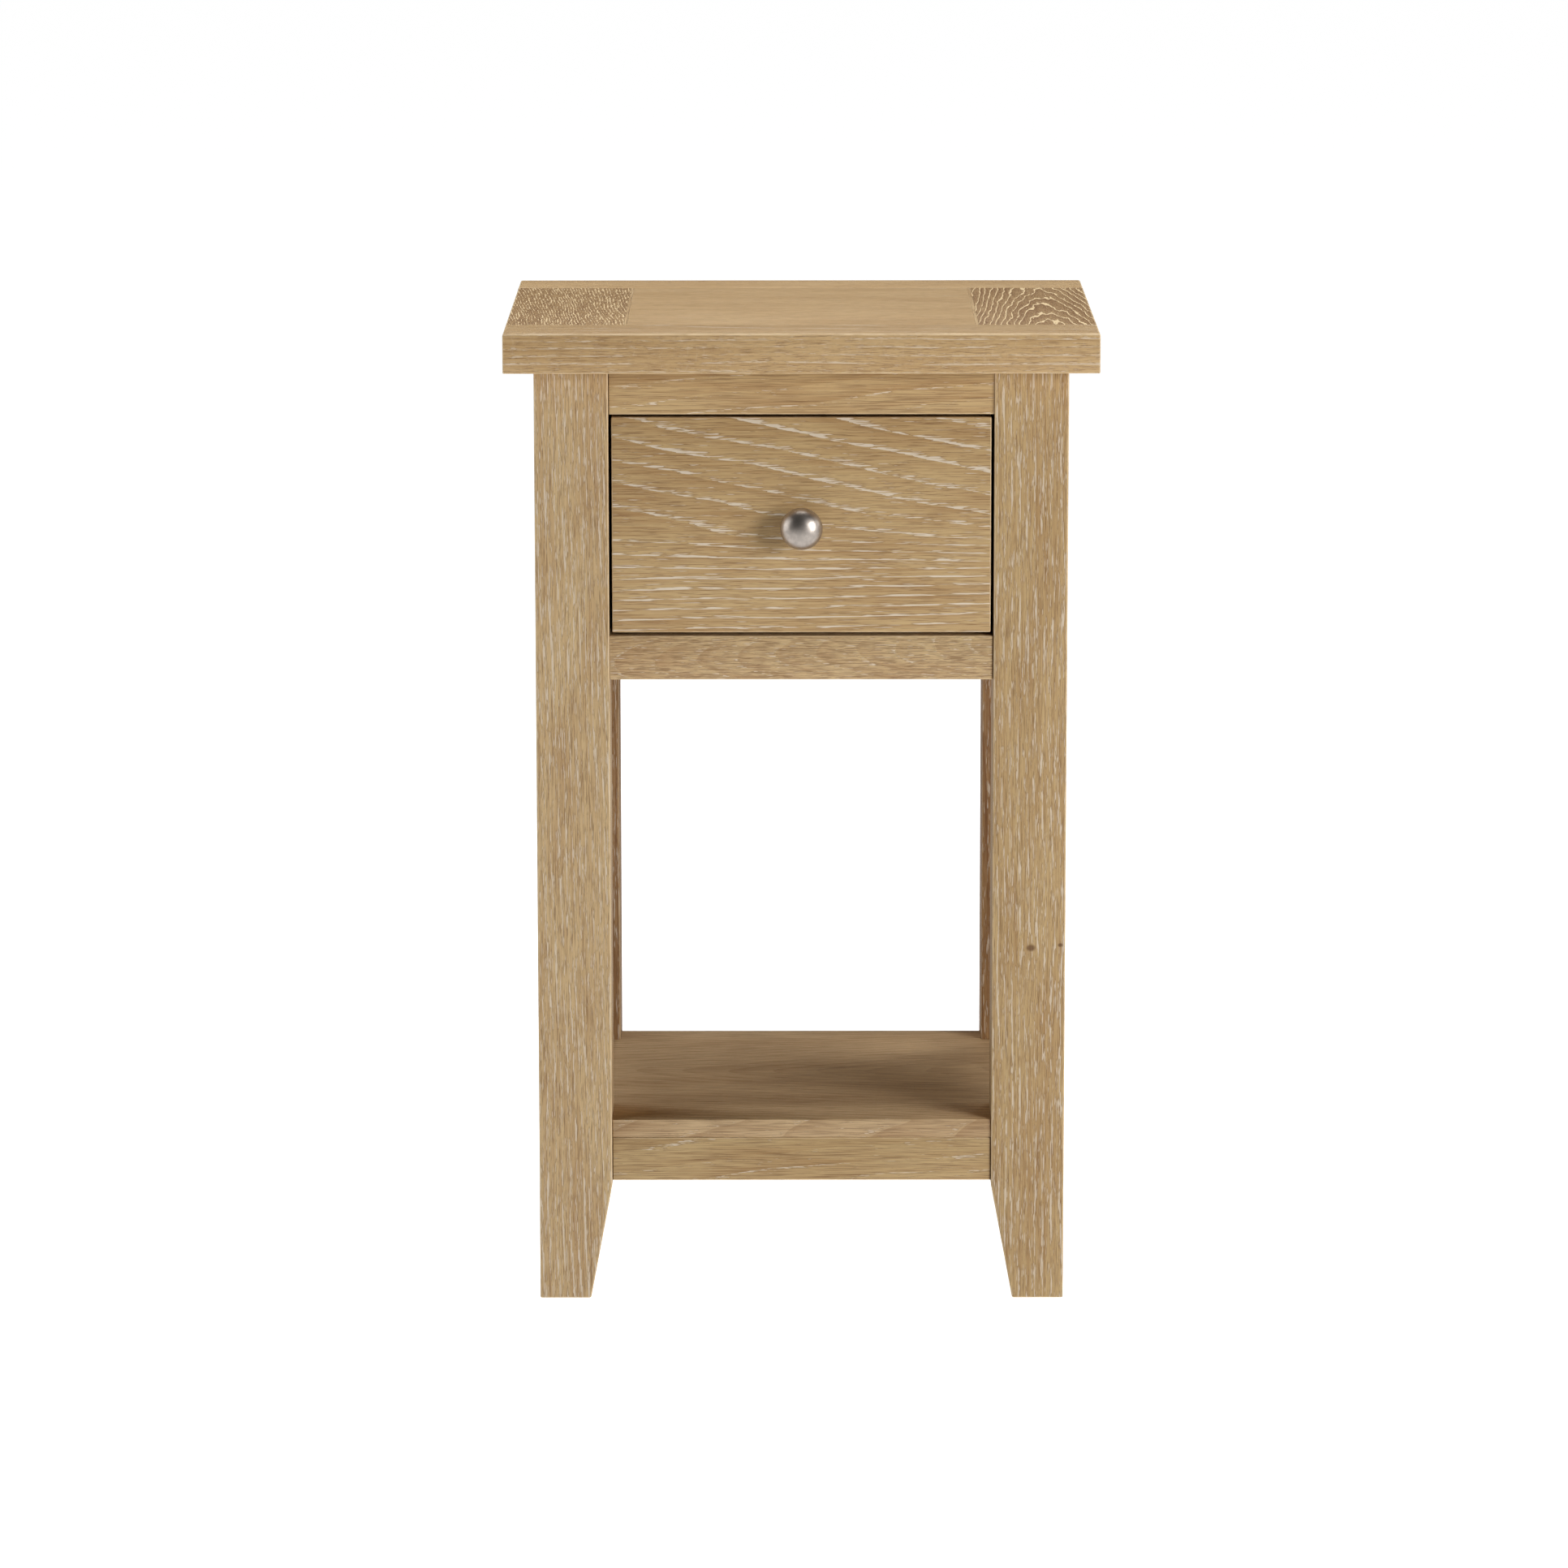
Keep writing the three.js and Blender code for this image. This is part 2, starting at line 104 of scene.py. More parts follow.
def blend(tree, share, first, second):
    """Colour first where share is 0 and colour second where it is 1."""
    return lay(tree, "ShaderNodeMix", {0: share, 6: first, 7: second}, data_type="RGBA").outputs[2]


def ease_between(tree, value, low, high, to_low=0.0, to_high=1.0):
    """Rises smoothly from to_low to to_high while value goes from low to high."""
    given = {0: value, 1: low, 2: high, 3: to_low, 4: to_high}
    return lay(tree, "ShaderNodeMapRange", given, interpolation_type="SMOOTHSTEP").outputs[0]


def streaks(tree, vector, seed, long, wide, detail=1.0, roughness=0.5):
    """Noise drawn out along the grain: long and wide are the size of one streak in mm."""
    size = lay(tree, "ShaderNodeCombineXYZ", {0: long, 1: wide, 2: wide}).outputs[0]
    place = vectors(tree, "ADD", vectors(tree, "DIVIDE", vector, size), seed)
    given = {"Vector": place, "Scale": 1.0, "Detail": detail, "Roughness": roughness}
    return lay(tree, "ShaderNodeTexNoise", given).outputs[0]


def use_group(tree, group, given):
    """A node that holds a shared group, with its inputs given by name."""
    made = tree.nodes.new("GeometryNodeGroup" if tree.type == "GEOMETRY" else "ShaderNodeGroup")
    made.node_tree = group
    feed(tree, made, given)
    return made


def group_of(name, inputs, outputs):
    """An empty shader node group with named sockets; returns the tree and its input node."""
    tree = bpy.data.node_groups.new(name, "ShaderNodeTree")
    for label, kind, value in inputs:
        socket = tree.interface.new_socket(label, in_out="INPUT", socket_type="NodeSocket" + kind)
        if value is not None:
            socket.default_value = value
    for label, kind in outputs:
        tree.interface.new_socket(label, in_out="OUTPUT", socket_type="NodeSocket" + kind)
    return tree, tree.nodes.new("NodeGroupInput")


# ---------------------------------------------------------------- wood: shared node groups
TAN = linear(200, 170, 122)
DEEP = linear(168, 130, 84)
PORE = linear(106, 70, 40)
# the cream of the painted highlight along the arrises
LIME = linear(226, 212, 192)
HIGHLIGHT_CREAM = linear(236, 210, 168)
SEAM_BROWN = linear(84, 56, 34)
# how long and how wide one streak of each noise is, in mm
WAVER_MM, RIPPLE_MM = (170.0, 42.0), (34.0, 7.0)
FRONT_WAVER_MM, FRONT_RIPPLE_MM = (120.0, 34.0), (22.0, 5.0)
# the last sizes the unevenness of the painted highlight along the arrises
PATCH_MM, FIBRE_MM, CLOUD_MM, HIGHLIGHT_STREAK_MM = (46.0, 11.0), (60.0, 1.1), (130.0, 26.0), (16.0, 9.0)


def annual_rings():
    """Distance from the pith in mm, as in a grown trunk: the pith leans and the rings waver."""
    tree, given = group_of(
        "annual_rings",
        [("Vector", "Vector", None), ("Pith", "Vector", (0, 0, 0)), ("Lean", "Vector", (0, 0, 0)),
         ("Cone", "Float", 0.0), ("Waver", "Float", 4.0), ("Ripple", "Float", 0.5),
         ("Seed", "Vector", (0, 0, 0))],
        [("Rings", "Float")],
    )
    at = given.outputs
    along = lay(tree, "ShaderNodeSeparateXYZ", {0: at["Vector"]}).outputs[0]
    leaning = vectors(tree, "SCALE", at["Lean"])
    tree.links.new(along, leaning.node.inputs["Scale"])
    across = vectors(tree, "SUBTRACT", vectors(tree, "SUBTRACT", at["Vector"], at["Pith"]), leaning)
    flat = vectors(tree, "MULTIPLY", across, (0.0, 1.0, 1.0))
    taper = sums(tree, "MULTIPLY", along, at["Cone"])
    distance = sums(tree, "SUBTRACT", vectors(tree, "LENGTH", flat), taper)
    wide = sums(tree, "SUBTRACT", streaks(tree, at["Vector"], at["Seed"], *WAVER_MM), 0.5)
    fine = sums(tree, "SUBTRACT", streaks(tree, at["Vector"], at["Seed"], *RIPPLE_MM), 0.5)
    moved = sums(tree, "MULTIPLY_ADD", wide, at["Waver"], distance)
    moved = sums(tree, "MULTIPLY_ADD", fine, at["Ripple"], moved)
    lay(tree, "NodeGroupOutput", {"Rings": moved})
    return tree


def drawer_front_rings():
    """The drawer front's figure: bands that fall to the right higher up and level out low down."""
    tree, given = group_of(
        "drawer_front_rings",
        [("Vector", "Vector", None), ("Wide Ring", "Float", 15.0), ("Narrow Ring", "Float", 6.6),
         ("Fall", "Float", 0.0142), ("Rise", "Float", -0.003), ("Deepen", "Float", 0.09),
         ("Waver", "Float", 0.6), ("Ripple", "Float", 0.10), ("Seed", "Vector", (0, 0, 0))],
        [("Rings", "Float")],
    )
    at = given.outputs
    along, depth, up = lay(tree, "ShaderNodeSeparateXYZ", {0: at["Vector"]}).outputs
    # up is 0 halfway up the board: below the change the rings stand closer together,
    # and between the two slopes the bands turn from nearly level to falling
    change, level_at, falling_at = -8.0, -48.0, 18.0
    close = sums(tree, "DIVIDE", 1.0, at["Narrow Ring"])
    apart = sums(tree, "DIVIDE", 1.0, at["Wide Ring"])
    lower = sums(tree, "MULTIPLY", sums(tree, "MINIMUM", up, change), close)
    upper = sums(tree, "MULTIPLY", sums(tree, "MAXIMUM", up, change), apart)
    count = sums(tree, "ADD", lower, upper)
    slope = ease_between(tree, up, level_at, falling_at, at["Rise"], at["Fall"])
    count = sums(tree, "MULTIPLY_ADD", slope, along, count)
    count = sums(tree, "MULTIPLY_ADD", depth, at["Deepen"], count)
    wide = sums(tree, "SUBTRACT", streaks(tree, at["Vector"], at["Seed"], *FRONT_WAVER_MM), 0.5)
    fine = sums(tree, "SUBTRACT", streaks(tree, at["Vector"], at["Seed"], *FRONT_RIPPLE_MM), 0.5)
    count = sums(tree, "MULTIPLY_ADD", wide, at["Waver"], count)
    count = sums(tree, "MULTIPLY_ADD", fine, at["Ripple"], count)
    lay(tree, "NodeGroupOutput", {"Rings": count})
    return tree


def small_knot():
    """How far a pin knot pushes the rings aside, and how dark it is."""
    tree, given = group_of(
        "small_knot",
        [("Vector", "Vector", None), ("Centre", "Vector", (0, 0, 0)), ("Size", "Float", 3.0)],
        [("Push", "Float"), ("Core", "Float")],
    )
    at = given.outputs
    # the shapes of the pushed wood and of the dark core, as shares of the knot's size
    pushed_shape, core_shape, core_dark, core_gone = (3.4, 6.0, 1.6), (0.8, 9.0, 1.1), 0.45, 1.15
    away = vectors(tree, "SUBTRACT", at["Vector"], at["Centre"])
    reach = vectors(tree, "LENGTH", vectors(tree, "DIVIDE", away, pushed_shape))
    reach = sums(tree, "DIVIDE", reach, at["Size"])
    squared = sums(tree, "MULTIPLY", reach, reach)
    push = sums(tree, "EXPONENT", sums(tree, "MULTIPLY", squared, -1.0))
    near = vectors(tree, "LENGTH", vectors(tree, "DIVIDE", away, core_shape))
    near = sums(tree, "DIVIDE", near, at["Size"])
    core = ease_between(tree, near, core_dark, core_gone, 1.0, 0.0)
    lay(tree, "NodeGroupOutput", {"Push": sums(tree, "MULTIPLY", push, at["Size"]), "Core": core})
    return tree


# where the lime, the dark pores and the lime's brown edge begin and are full, on noises of 0 to 1
LIME_FROM, LIME_FULL = 0.65, 0.74
PORE_FROM, PORE_FULL, PORE_SHARE = 0.60, 0.72, 0.55
EDGE_FROM, EDGE_FULL, EDGE_SHARE = 0.60, 0.655, 0.75
RING_START = 0.05               # the share of a ring in which its early wood begins
LEAST_LUCK, MORE_LUCK = 0.75, 0.35
# roughness and height: the clear wood's own, and what fibre, lime and dark pores add
ROUGH, ROUGH_FIBRE, ROUGH_LIME, ROUGH_PORE = 0.40, 0.16, 0.14, 0.12
HIGH, HIGH_FIBRE, HIGH_LIME, HIGH_PORE = 0.5, 0.35, -0.35, -0.55


def limed_oak():
    """Open-pored oak under a pale filler: rings, limed early wood, fine dark pores, fibre."""
    tree, given = group_of(
        "limed_oak",
        [("Vector", "Vector", None), ("Rings", "Float", 0.0), ("Seed", "Vector", (0, 0, 0)),
         ("Early Share", "Float", 0.3), ("Band Lime", "Float", 0.5), ("Stray Lime", "Float", 0.0),
         ("Lime Long", "Float", 9.0), ("Lime Wide", "Float", 0.8), ("Lime Cover", "Float", 0.8),
         ("Dark Pores", "Float", 0.5), ("Pore Long", "Float", 8.0), ("Pore Wide", "Float", 0.45),
         ("Ring Tone", "Float", 0.3), ("Fleck", "Float", 0.0), ("Patchiness", "Float", 1.0),
         ("Early Colour", "Color", TAN), ("Late Colour", "Color", DEEP),
         ("Pore Colour", "Color", PORE), ("Lime Colour", "Color", LIME)],
        [("Color", "Color"), ("Roughness", "Float"), ("Height", "Float")],
    )
    at = given.outputs
    grain, seed = at["Vector"], at["Seed"]
    part = sums(tree, "FRACT", at["Rings"])
    which = sums(tree, "FLOOR", at["Rings"])
    luck = lay(tree, "ShaderNodeTexWhiteNoise", {"W": which}, noise_dimensions="1D").outputs["Value"]
    early = ease_between(tree, part, 0.0, at["Early Share"], 1.0, 0.0)
    early = sums(tree, "MULTIPLY", early, ease_between(tree, part, 0.0, RING_START))
    luck = sums(tree, "MULTIPLY_ADD", luck, MORE_LUCK, LEAST_LUCK)
    early = sums(tree, "MULTIPLY", early, luck)
    patch_seed = vectors(tree, "ADD", seed, (3.1, 5.2, 1.7))
    pore_seed = vectors(tree, "ADD", seed, (11.0, 2.0, 6.0))
    fibre_seed = vectors(tree, "ADD", seed, (7.0, 9.0, 4.0))
    cloud_seed = vectors(tree, "ADD", seed, (1.0, 8.0, 3.0))
    patches = streaks(tree, grain, patch_seed, *PATCH_MM, detail=2.0)
    patchy = ease_between(tree, patches, 0.36, 0.62, -0.75, 0.15)
    patchy = sums(tree, "MULTIPLY_ADD", patchy, at["Patchiness"], 1.0)
    large = streaks(tree, grain, seed, at["Lime Long"], at["Lime Wide"], detail=1.5, roughness=0.6)
    raised = sums(tree, "MULTIPLY", sums(tree, "MULTIPLY", early, patchy), at["Band Lime"])
    raised = sums(tree, "ADD", sums(tree, "MULTIPLY_ADD", raised, 0.5, large), at["Stray Lime"])
    lime = ease_between(tree, raised, LIME_FROM, LIME_FULL)
    small = streaks(tree, grain, pore_seed, at["Pore Long"], at["Pore Wide"])
    small = sums(tree, "MULTIPLY_ADD", at["Dark Pores"], 0.16, small)
    dark = ease_between(tree, small, PORE_FROM, PORE_FULL)
    # the lime stops short of each pore's brown edge
    edge = sums(tree, "MULTIPLY", ease_between(tree, raised, EDGE_FROM, EDGE_FULL), EDGE_SHARE)
    dark = sums(tree, "MAXIMUM", dark, edge)
    dark = sums(tree, "MULTIPLY", dark, sums(tree, "SUBTRACT", 1.0, lime))
    fibre = streaks(tree, grain, fibre_seed, *FIBRE_MM, detail=3.0, roughness=0.6)
    cloud = streaks(tree, grain, cloud_seed, *CLOUD_MM, detail=2.0)
    late = sums(tree, "MULTIPLY", sums(tree, "POWER", part, 1.6), at["Ring Tone"])
    tone = sums(tree, "ADD", late, ease_between(tree, fibre, 0.28, 0.72, -0.2, 0.42))
    tone = sums(tree, "ADD", tone, ease_between(tree, cloud, 0.3, 0.7, -0.12, 0.3), clamp=True)
    colour = blend(tree, tone, at["Early Colour"], at["Late Colour"])
    colour = blend(tree, sums(tree, "MULTIPLY", dark, PORE_SHARE), colour, at["Pore Colour"])
    # medullary rays: short pale marks lying across the grain
    ray_size = vectors(tree, "DIVIDE", grain, (2.2, 7.0, 7.0))
    given = {"Vector": ray_size, "Scale": 1.0, "Detail": 2.0, "Distortion": 0.8}
    rays = lay(tree, "ShaderNodeTexNoise", given)
    ray = sums(tree, "MULTIPLY", ease_between(tree, rays.outputs[0], 0.62, 0.72), at["Fleck"])
    colour = blend(tree, ray, colour, at["Lime Colour"])
    colour = blend(tree, sums(tree, "MULTIPLY", lime, at["Lime Cover"]), colour, at["Lime Colour"])
    rough = sums(tree, "MULTIPLY_ADD", fibre, ROUGH_FIBRE, ROUGH)
    rough = sums(tree, "MULTIPLY_ADD", lime, ROUGH_LIME, rough)
    rough = sums(tree, "MULTIPLY_ADD", dark, ROUGH_PORE, rough, clamp=True)
    height = sums(tree, "MULTIPLY_ADD", fibre, HIGH_FIBRE, HIGH)
    height = sums(tree, "MULTIPLY_ADD", dark, HIGH_PORE, height)
    height = sums(tree, "MULTIPLY_ADD", lime, HIGH_LIME, height)
    lay(tree, "NodeGroupOutput", {"Color": colour, "Roughness": rough, "Height": height})
    return tree


RINGS, DRAWER_RINGS, KNOT, OAK = annual_rings(), drawer_front_rings(), small_knot(), limed_oak()

# how the grain direction of a board turns into the pattern's own X
GRAIN_TURN = {"X": Euler((0, 0, 0)), "Y": Euler((0, 0, -math.pi / 2)), "Z": Euler((0, math.pi / 2, 0))}


def board_place(tree, box, grain):
    """Object coordinates in mm, measured from the board's middle, with X along the grain."""
    low, high = box
    turn = GRAIN_TURN[grain]
    shift = -(turn.to_matrix() @ ((low + high) / 2 * PER_METRE_MM))
    spot = lay(tree, "ShaderNodeTexCoord").outputs["Object"]
    given = {"Vector": spot, "Location": shift, "Rotation": turn, "Scale": (PER_METRE_MM,) * 3}
    return lay(tree, "ShaderNodeMapping", given).outputs[0]


def finish_of(name):
    """A new material with an empty tree; returns the material, its tree and its shader."""
    made = bpy.data.materials.new(name)
    made.use_nodes = True
    tree = made.node_tree
    tree.nodes.clear()
    shader = lay(tree, "ShaderNodeBsdfPrincipled")
    lay(tree, "ShaderNodeOutputMaterial", {"Surface": shader.outputs[0]})
    return made, tree, shader


def seed_of(number):
    """A board's own place in the noises, well apart from the other boards'."""
    return (number * 3.713, number * 1.931, number * 2.377)


KNOT_PUSH, KNOT_DARK = 0.8, 0.8  # how far a knot moves the rings, and how dark its core is
HIGHLIGHT_SEED = 40.0                # added to a board's number for the painted highlight on its arrises
SEAM_DARK = -0.85               # the seam's mark of -1 becomes this much shadow


def oak(name, box, grain, seed, ring_width=4.0, pith=(0, 40, 60), lean=(0, 0, 0), cone=0.0,
        waver=5.0, ripple=0.5, knots=(), bump=0.35, tints=None, **character):
    """One board's oak, in its own place in the trunk; character goes to limed_oak by name."""
    made, tree, shader = finish_of(name)
    place = board_place(tree, box, grain)
    trunk = {"Vector": place, "Pith": pith, "Lean": lean, "Cone": cone, "Waver": waver,
             "Ripple": ripple, "Seed": seed_of(seed)}
    rings = use_group(tree, RINGS, trunk).outputs[0]
    cores = []
    for spot, size in knots:
        knot = use_group(tree, KNOT, {"Vector": place, "Centre": spot, "Size": size})
        rings = sums(tree, "MULTIPLY_ADD", knot.outputs["Push"], KNOT_PUSH, rings)
        cores.append(knot.outputs["Core"])
    rings = sums(tree, "DIVIDE", rings, ring_width)
    return dress(made, tree, shader, place, rings, seed, cores, bump, tints or {}, character)


def dress(made, tree, shader, place, rings, seed, cores, bump, tints, character):
    """Puts limed_oak on a shader under satin lacquer, with painted arris highlights and painted seam
    shadow.
    """
    given = {"Vector": place, "Rings": rings, "Seed": seed_of(seed), **tints}
    given.update({key.replace("_", " ").title(): value for key, value in character.items()})
    wood = use_group(tree, OAK, given)
    colour, height = wood.outputs["Color"], wood.outputs["Height"]
    for core in cores:
        colour = blend(tree, sums(tree, "MULTIPLY", core, KNOT_DARK), colour, PORE)
    # a painted highlight along the eased arrises, uneven along their length
    arris = lay(tree, "ShaderNodeAttribute", attribute_name="arris").outputs["Fac"]
    painted_highlight = sums(tree, "MAXIMUM", arris, 0.0)
    uneven = streaks(tree, place, seed_of(seed + HIGHLIGHT_SEED), *HIGHLIGHT_STREAK_MM, detail=2.0)
    painted_highlight = sums(tree, "MULTIPLY", painted_highlight, ease_between(tree, uneven, 0.3, 0.6, 0.3, 0.75))
    colour = blend(tree, painted_highlight, colour, HIGHLIGHT_CREAM)
    # a shadow line where a rail's end meets a leg
    seam = sums(tree, "MAXIMUM", sums(tree, "MULTIPLY", arris, SEAM_DARK), 0.0)
    colour = blend(tree, seam, colour, SEAM_BROWN)
    tree.links.new(colour, shader.inputs["Base Color"])
    tree.links.new(wood.outputs["Roughness"], shader.inputs["Roughness"])
    raised = lay(tree, "ShaderNodeBump", {"Strength": bump, "Distance": 0.25 * MM, "Height": height})
    tree.links.new(raised.outputs[0], shader.inputs["Normal"])
    shader.inputs["Specular IOR Level"].default_value = 0.35
    return made


def drawer_oak(name, box, seed, **character):
    """The drawer front's flat-sawn board, whose lime dashes are shorter towards the top."""
    made, tree, shader = finish_of(name)
    place = board_place(tree, box, "X")
    rings = use_group(tree, DRAWER_RINGS, {"Vector": place, "Seed": seed_of(seed)}).outputs[0]
    up = lay(tree, "ShaderNodeSeparateXYZ", {0: place}).outputs[2]
    character["lime_long"] = ease_between(tree, up, -45.0, 5.0, 22.0, 15.0)
    return dress(made, tree, shader, place, rings, seed, [], 0.4, {}, character)


def satin_nickel():
    """Satin nickel plate: a fine turned brushing that follows the knob round its own axis."""
    made, tree, shader = finish_of("satin_nickel")
    spot = lay(tree, "ShaderNodeTexCoord").outputs["Object"]
    low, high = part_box("knob")
    middle = (low + high) / 2
    shift = Vector((-middle.x, -low.y, -middle.z)) * PER_METRE_MM
    given = {"Vector": spot, "Location": shift, "Scale": (PER_METRE_MM,) * 3}
    place = lay(tree, "ShaderNodeMapping", given).outputs[0]
    x, y, z = lay(tree, "ShaderNodeSeparateXYZ", {0: place}).outputs
    squares = sums(tree, "ADD", sums(tree, "MULTIPLY", x, x), sums(tree, "MULTIPLY", z, z))
    away = sums(tree, "SQRT", squares)
    turned = lay(tree, "ShaderNodeCombineXYZ", {0: away, 1: y, 2: 0.0}).outputs[0]
    lines = lay(tree, "ShaderNodeTexNoise", {"Vector": turned, "Scale": 9.0, "Detail": 3.0})
    haze = lay(tree, "ShaderNodeTexNoise", {"Vector": place, "Scale": 0.35, "Detail": 3.0})
    pits = lay(tree, "ShaderNodeTexNoise", {"Vector": place, "Scale": 14.0, "Detail": 2.0})
    shade = ease_between(tree, haze.outputs[0], 0.3, 0.7)
    plate = blend(tree, shade, linear(190, 180, 171), linear(176, 167, 159))
    tree.links.new(plate, shader.inputs["Base Color"])
    rough = ease_between(tree, lines.outputs[0], 0.25, 0.75, 0.31, 0.40)
    rough = sums(tree, "MULTIPLY_ADD", shade, 0.04, rough)
    tree.links.new(rough, shader.inputs["Roughness"])
    marks = sums(tree, "ADD", lines.outputs[0], sums(tree, "MULTIPLY", pits.outputs[0], 0.5))
    raised = lay(tree, "ShaderNodeBump", {"Strength": 0.06, "Distance": 0.1 * MM, "Height": marks})
    tree.links.new(raised.outputs[0], shader.inputs["Normal"])
    shader.inputs["Metallic"].default_value = 1.0
    return made


def screw_steel():
    """Zinc plate with a yellow cast, cloudier in places."""
    made, tree, shader = finish_of("screw_steel")
    spot = lay(tree, "ShaderNodeTexCoord").outputs["Object"]
    cloud = lay(tree, "ShaderNodeTexNoise", {"Vector": spot, "Scale": 900.0, "Detail": 4.0})
    fine = lay(tree, "ShaderNodeTexNoise", {"Vector": spot, "Scale": 4200.0, "Detail": 2.0})
    shade = ease_between(tree, cloud.outputs[0], 0.3, 0.7)
    plate = blend(tree, shade, linear(214, 202, 160), linear(176, 168, 150))
    tree.links.new(plate, shader.inputs["Base Color"])
    rough = ease_between(tree, cloud.outputs[0], 0.3, 0.7, 0.28, 0.5)
    tree.links.new(rough, shader.inputs["Roughness"])
    raised = lay(tree, "ShaderNodeBump",
                 {"Strength": 0.15, "Distance": 0.1 * MM, "Height": fine.outputs[0]})
    tree.links.new(raised.outputs[0], shader.inputs["Normal"])
    shader.inputs["Metallic"].default_value = 1.0
    return made


# ---------------------------------------------------------------- boards: eased copies of the CAD solids
TOUCH = 0.00002                 # metres: closer than this counts as on the same plane
SAME_POINT = 0.000005           # metres
FLAT_TURN = 0.004               # radians: faces turned less than this are one flat
SQUARE_TURN = (0.6, 2.4)        # radians: how far the two faces of an arris may turn
ROUND_TURN = 0.5                # radians: an edge that is not an arris is smooth below this
LEAST_EASE = 0.01               # mm
FACETS = 3                      # facets across an eased arris
ON_FLAT = 0.9995                # cosine: a face this near a flat's direction lies on it
BUTTING = 0.3                   # share of the normal along the board at a butting shoulder


def is_arris(edge, corners):
    """True for an outer edge: convex, near square, and with none of the board beyond it."""
    if len(edge.link_faces) != 2 or not edge.is_convex:
        return False
    first, second = (face.normal for face in edge.link_faces)
    if not SQUARE_TURN[0] < first.angle(second, 0.0) < SQUARE_TURN[1]:
        return False
    spot = (edge.verts[0].co + edge.verts[1].co) / 2
    for share in (0.04, 0.5, 0.96):
        way = (first * share + second * (1 - share)).normalized()
        if all((corner - spot).dot(way) < TOUCH for corner in corners):
            return True
    return False


def merged_copy(node):
    """The CAD node's mesh as joined faces in a new bmesh."""
    shape = bmesh.new()
    shape.from_mesh(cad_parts[node].data)
    bmesh.ops.remove_doubles(shape, verts=shape.verts, dist=SAME_POINT)
    bmesh.ops.dissolve_limit(shape, angle_limit=FLAT_TURN, verts=shape.verts, edges=shape.edges)
    shape.normal_update()
    return shape


def eased(node, body, finish, ease=0.8, rule=None, butts=False):
    """A finished board with its arrises eased by ease mm, or by what rule says at an edge's middle."""
    shape = merged_copy(node)
    corners = [vertex.co.copy() for vertex in shape.verts]
    weight = shape.edges.layers.float.new("bevel_weight_edge")
    widest = max(ease, LEAST_EASE)
    for edge in shape.edges:
        if not is_arris(edge, corners):
            edge.smooth = edge.calc_face_angle(0.0) < ROUND_TURN
            continue
        middle = (edge.verts[0].co + edge.verts[1].co) / 2
        edge[weight] = (rule(middle) if rule else ease) / widest
    flats = {tuple(round(value, 3) for value in face.normal) for face in shape.faces}
    mesh = bpy.data.meshes.new(node + "_sawn")
    shape.to_mesh(mesh)
    shape.free()
    for face in mesh.polygons:
        face.use_smooth = True
    sawn = bpy.data.objects.new(node + "_sawn", mesh)
    bpy.context.scene.collection.objects.link(sawn)
    easing = sawn.modifiers.new("easing", "BEVEL")
    easing.limit_method = "WEIGHT"
    easing.width = widest * MM
    easing.segments = FACETS
    easing.harden_normals = True
    piece = settle(sawn, node + "_eased", body, finish, [node])
    butting = "XYZ".index(grain_of(node)) if butts else None
    mark_arrises(piece.data, [Vector(flat) for flat in flats], butting)


def mark_arrises(mesh, flats, butting):
    """Writes 1 on points inside an eased arris, 0 on every flat, and -1 where a shoulder butts.

    butting is the axis along which the board's shoulders meet other boards, or None.
    """
    flat_points = set()
    for face in mesh.polygons:
        if any(face.normal.dot(flat) > ON_FLAT for flat in flats):
            flat_points.update(face.vertices)
    marks = mesh.attributes.new("arris", "FLOAT", "POINT")
    for index, entry in enumerate(marks.data):
        entry.value = 0.0 if index in flat_points else 1.0
    if butting is None:
        return
    for index, vertex in enumerate(mesh.vertices):
        if index not in flat_points and abs(vertex.normal[butting]) > BUTTING:
            marks.data[index].value = -1.0


def settle(live, name, body, finish, nodes):
    """Turns an object with live modifiers into a plain mesh, and hands that piece to its body."""
    bpy.context.view_layer.update()
    now = live.evaluated_get(bpy.context.evaluated_depsgraph_get())
    mesh = bpy.data.meshes.new_from_object(now)
    bpy.data.objects.remove(live)
    mesh.name = name
    if finish is not None:
        mesh.materials.clear()
        mesh.materials.append(finish)
    piece = bpy.data.objects.new(name, mesh)
    bpy.context.scene.collection.objects.link(piece)
    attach(piece, body)
    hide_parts(*nodes)
    return piece


# ---------------------------------------------------------------- turned pieces: knob, washer, screws
def geometry_tree(name, inputs):
    """An empty geometry tree with named inputs; returns it with its input node."""
    tree = bpy.data.node_groups.new(name, "GeometryNodeTree")
    tree.is_modifier = True
    tree.interface.new_socket("Geometry", in_out="INPUT", socket_type="NodeSocketGeometry")
    for label, kind, value in inputs:
        socket = tree.interface.new_socket(label, in_out="INPUT", socket_type="NodeSocket" + kind)
        if value is not None:
            socket.default_value = value
    tree.interface.new_socket("Geometry", in_out="OUTPUT", socket_type="NodeSocketGeometry")
    return tree, tree.nodes.new("NodeGroupInput")


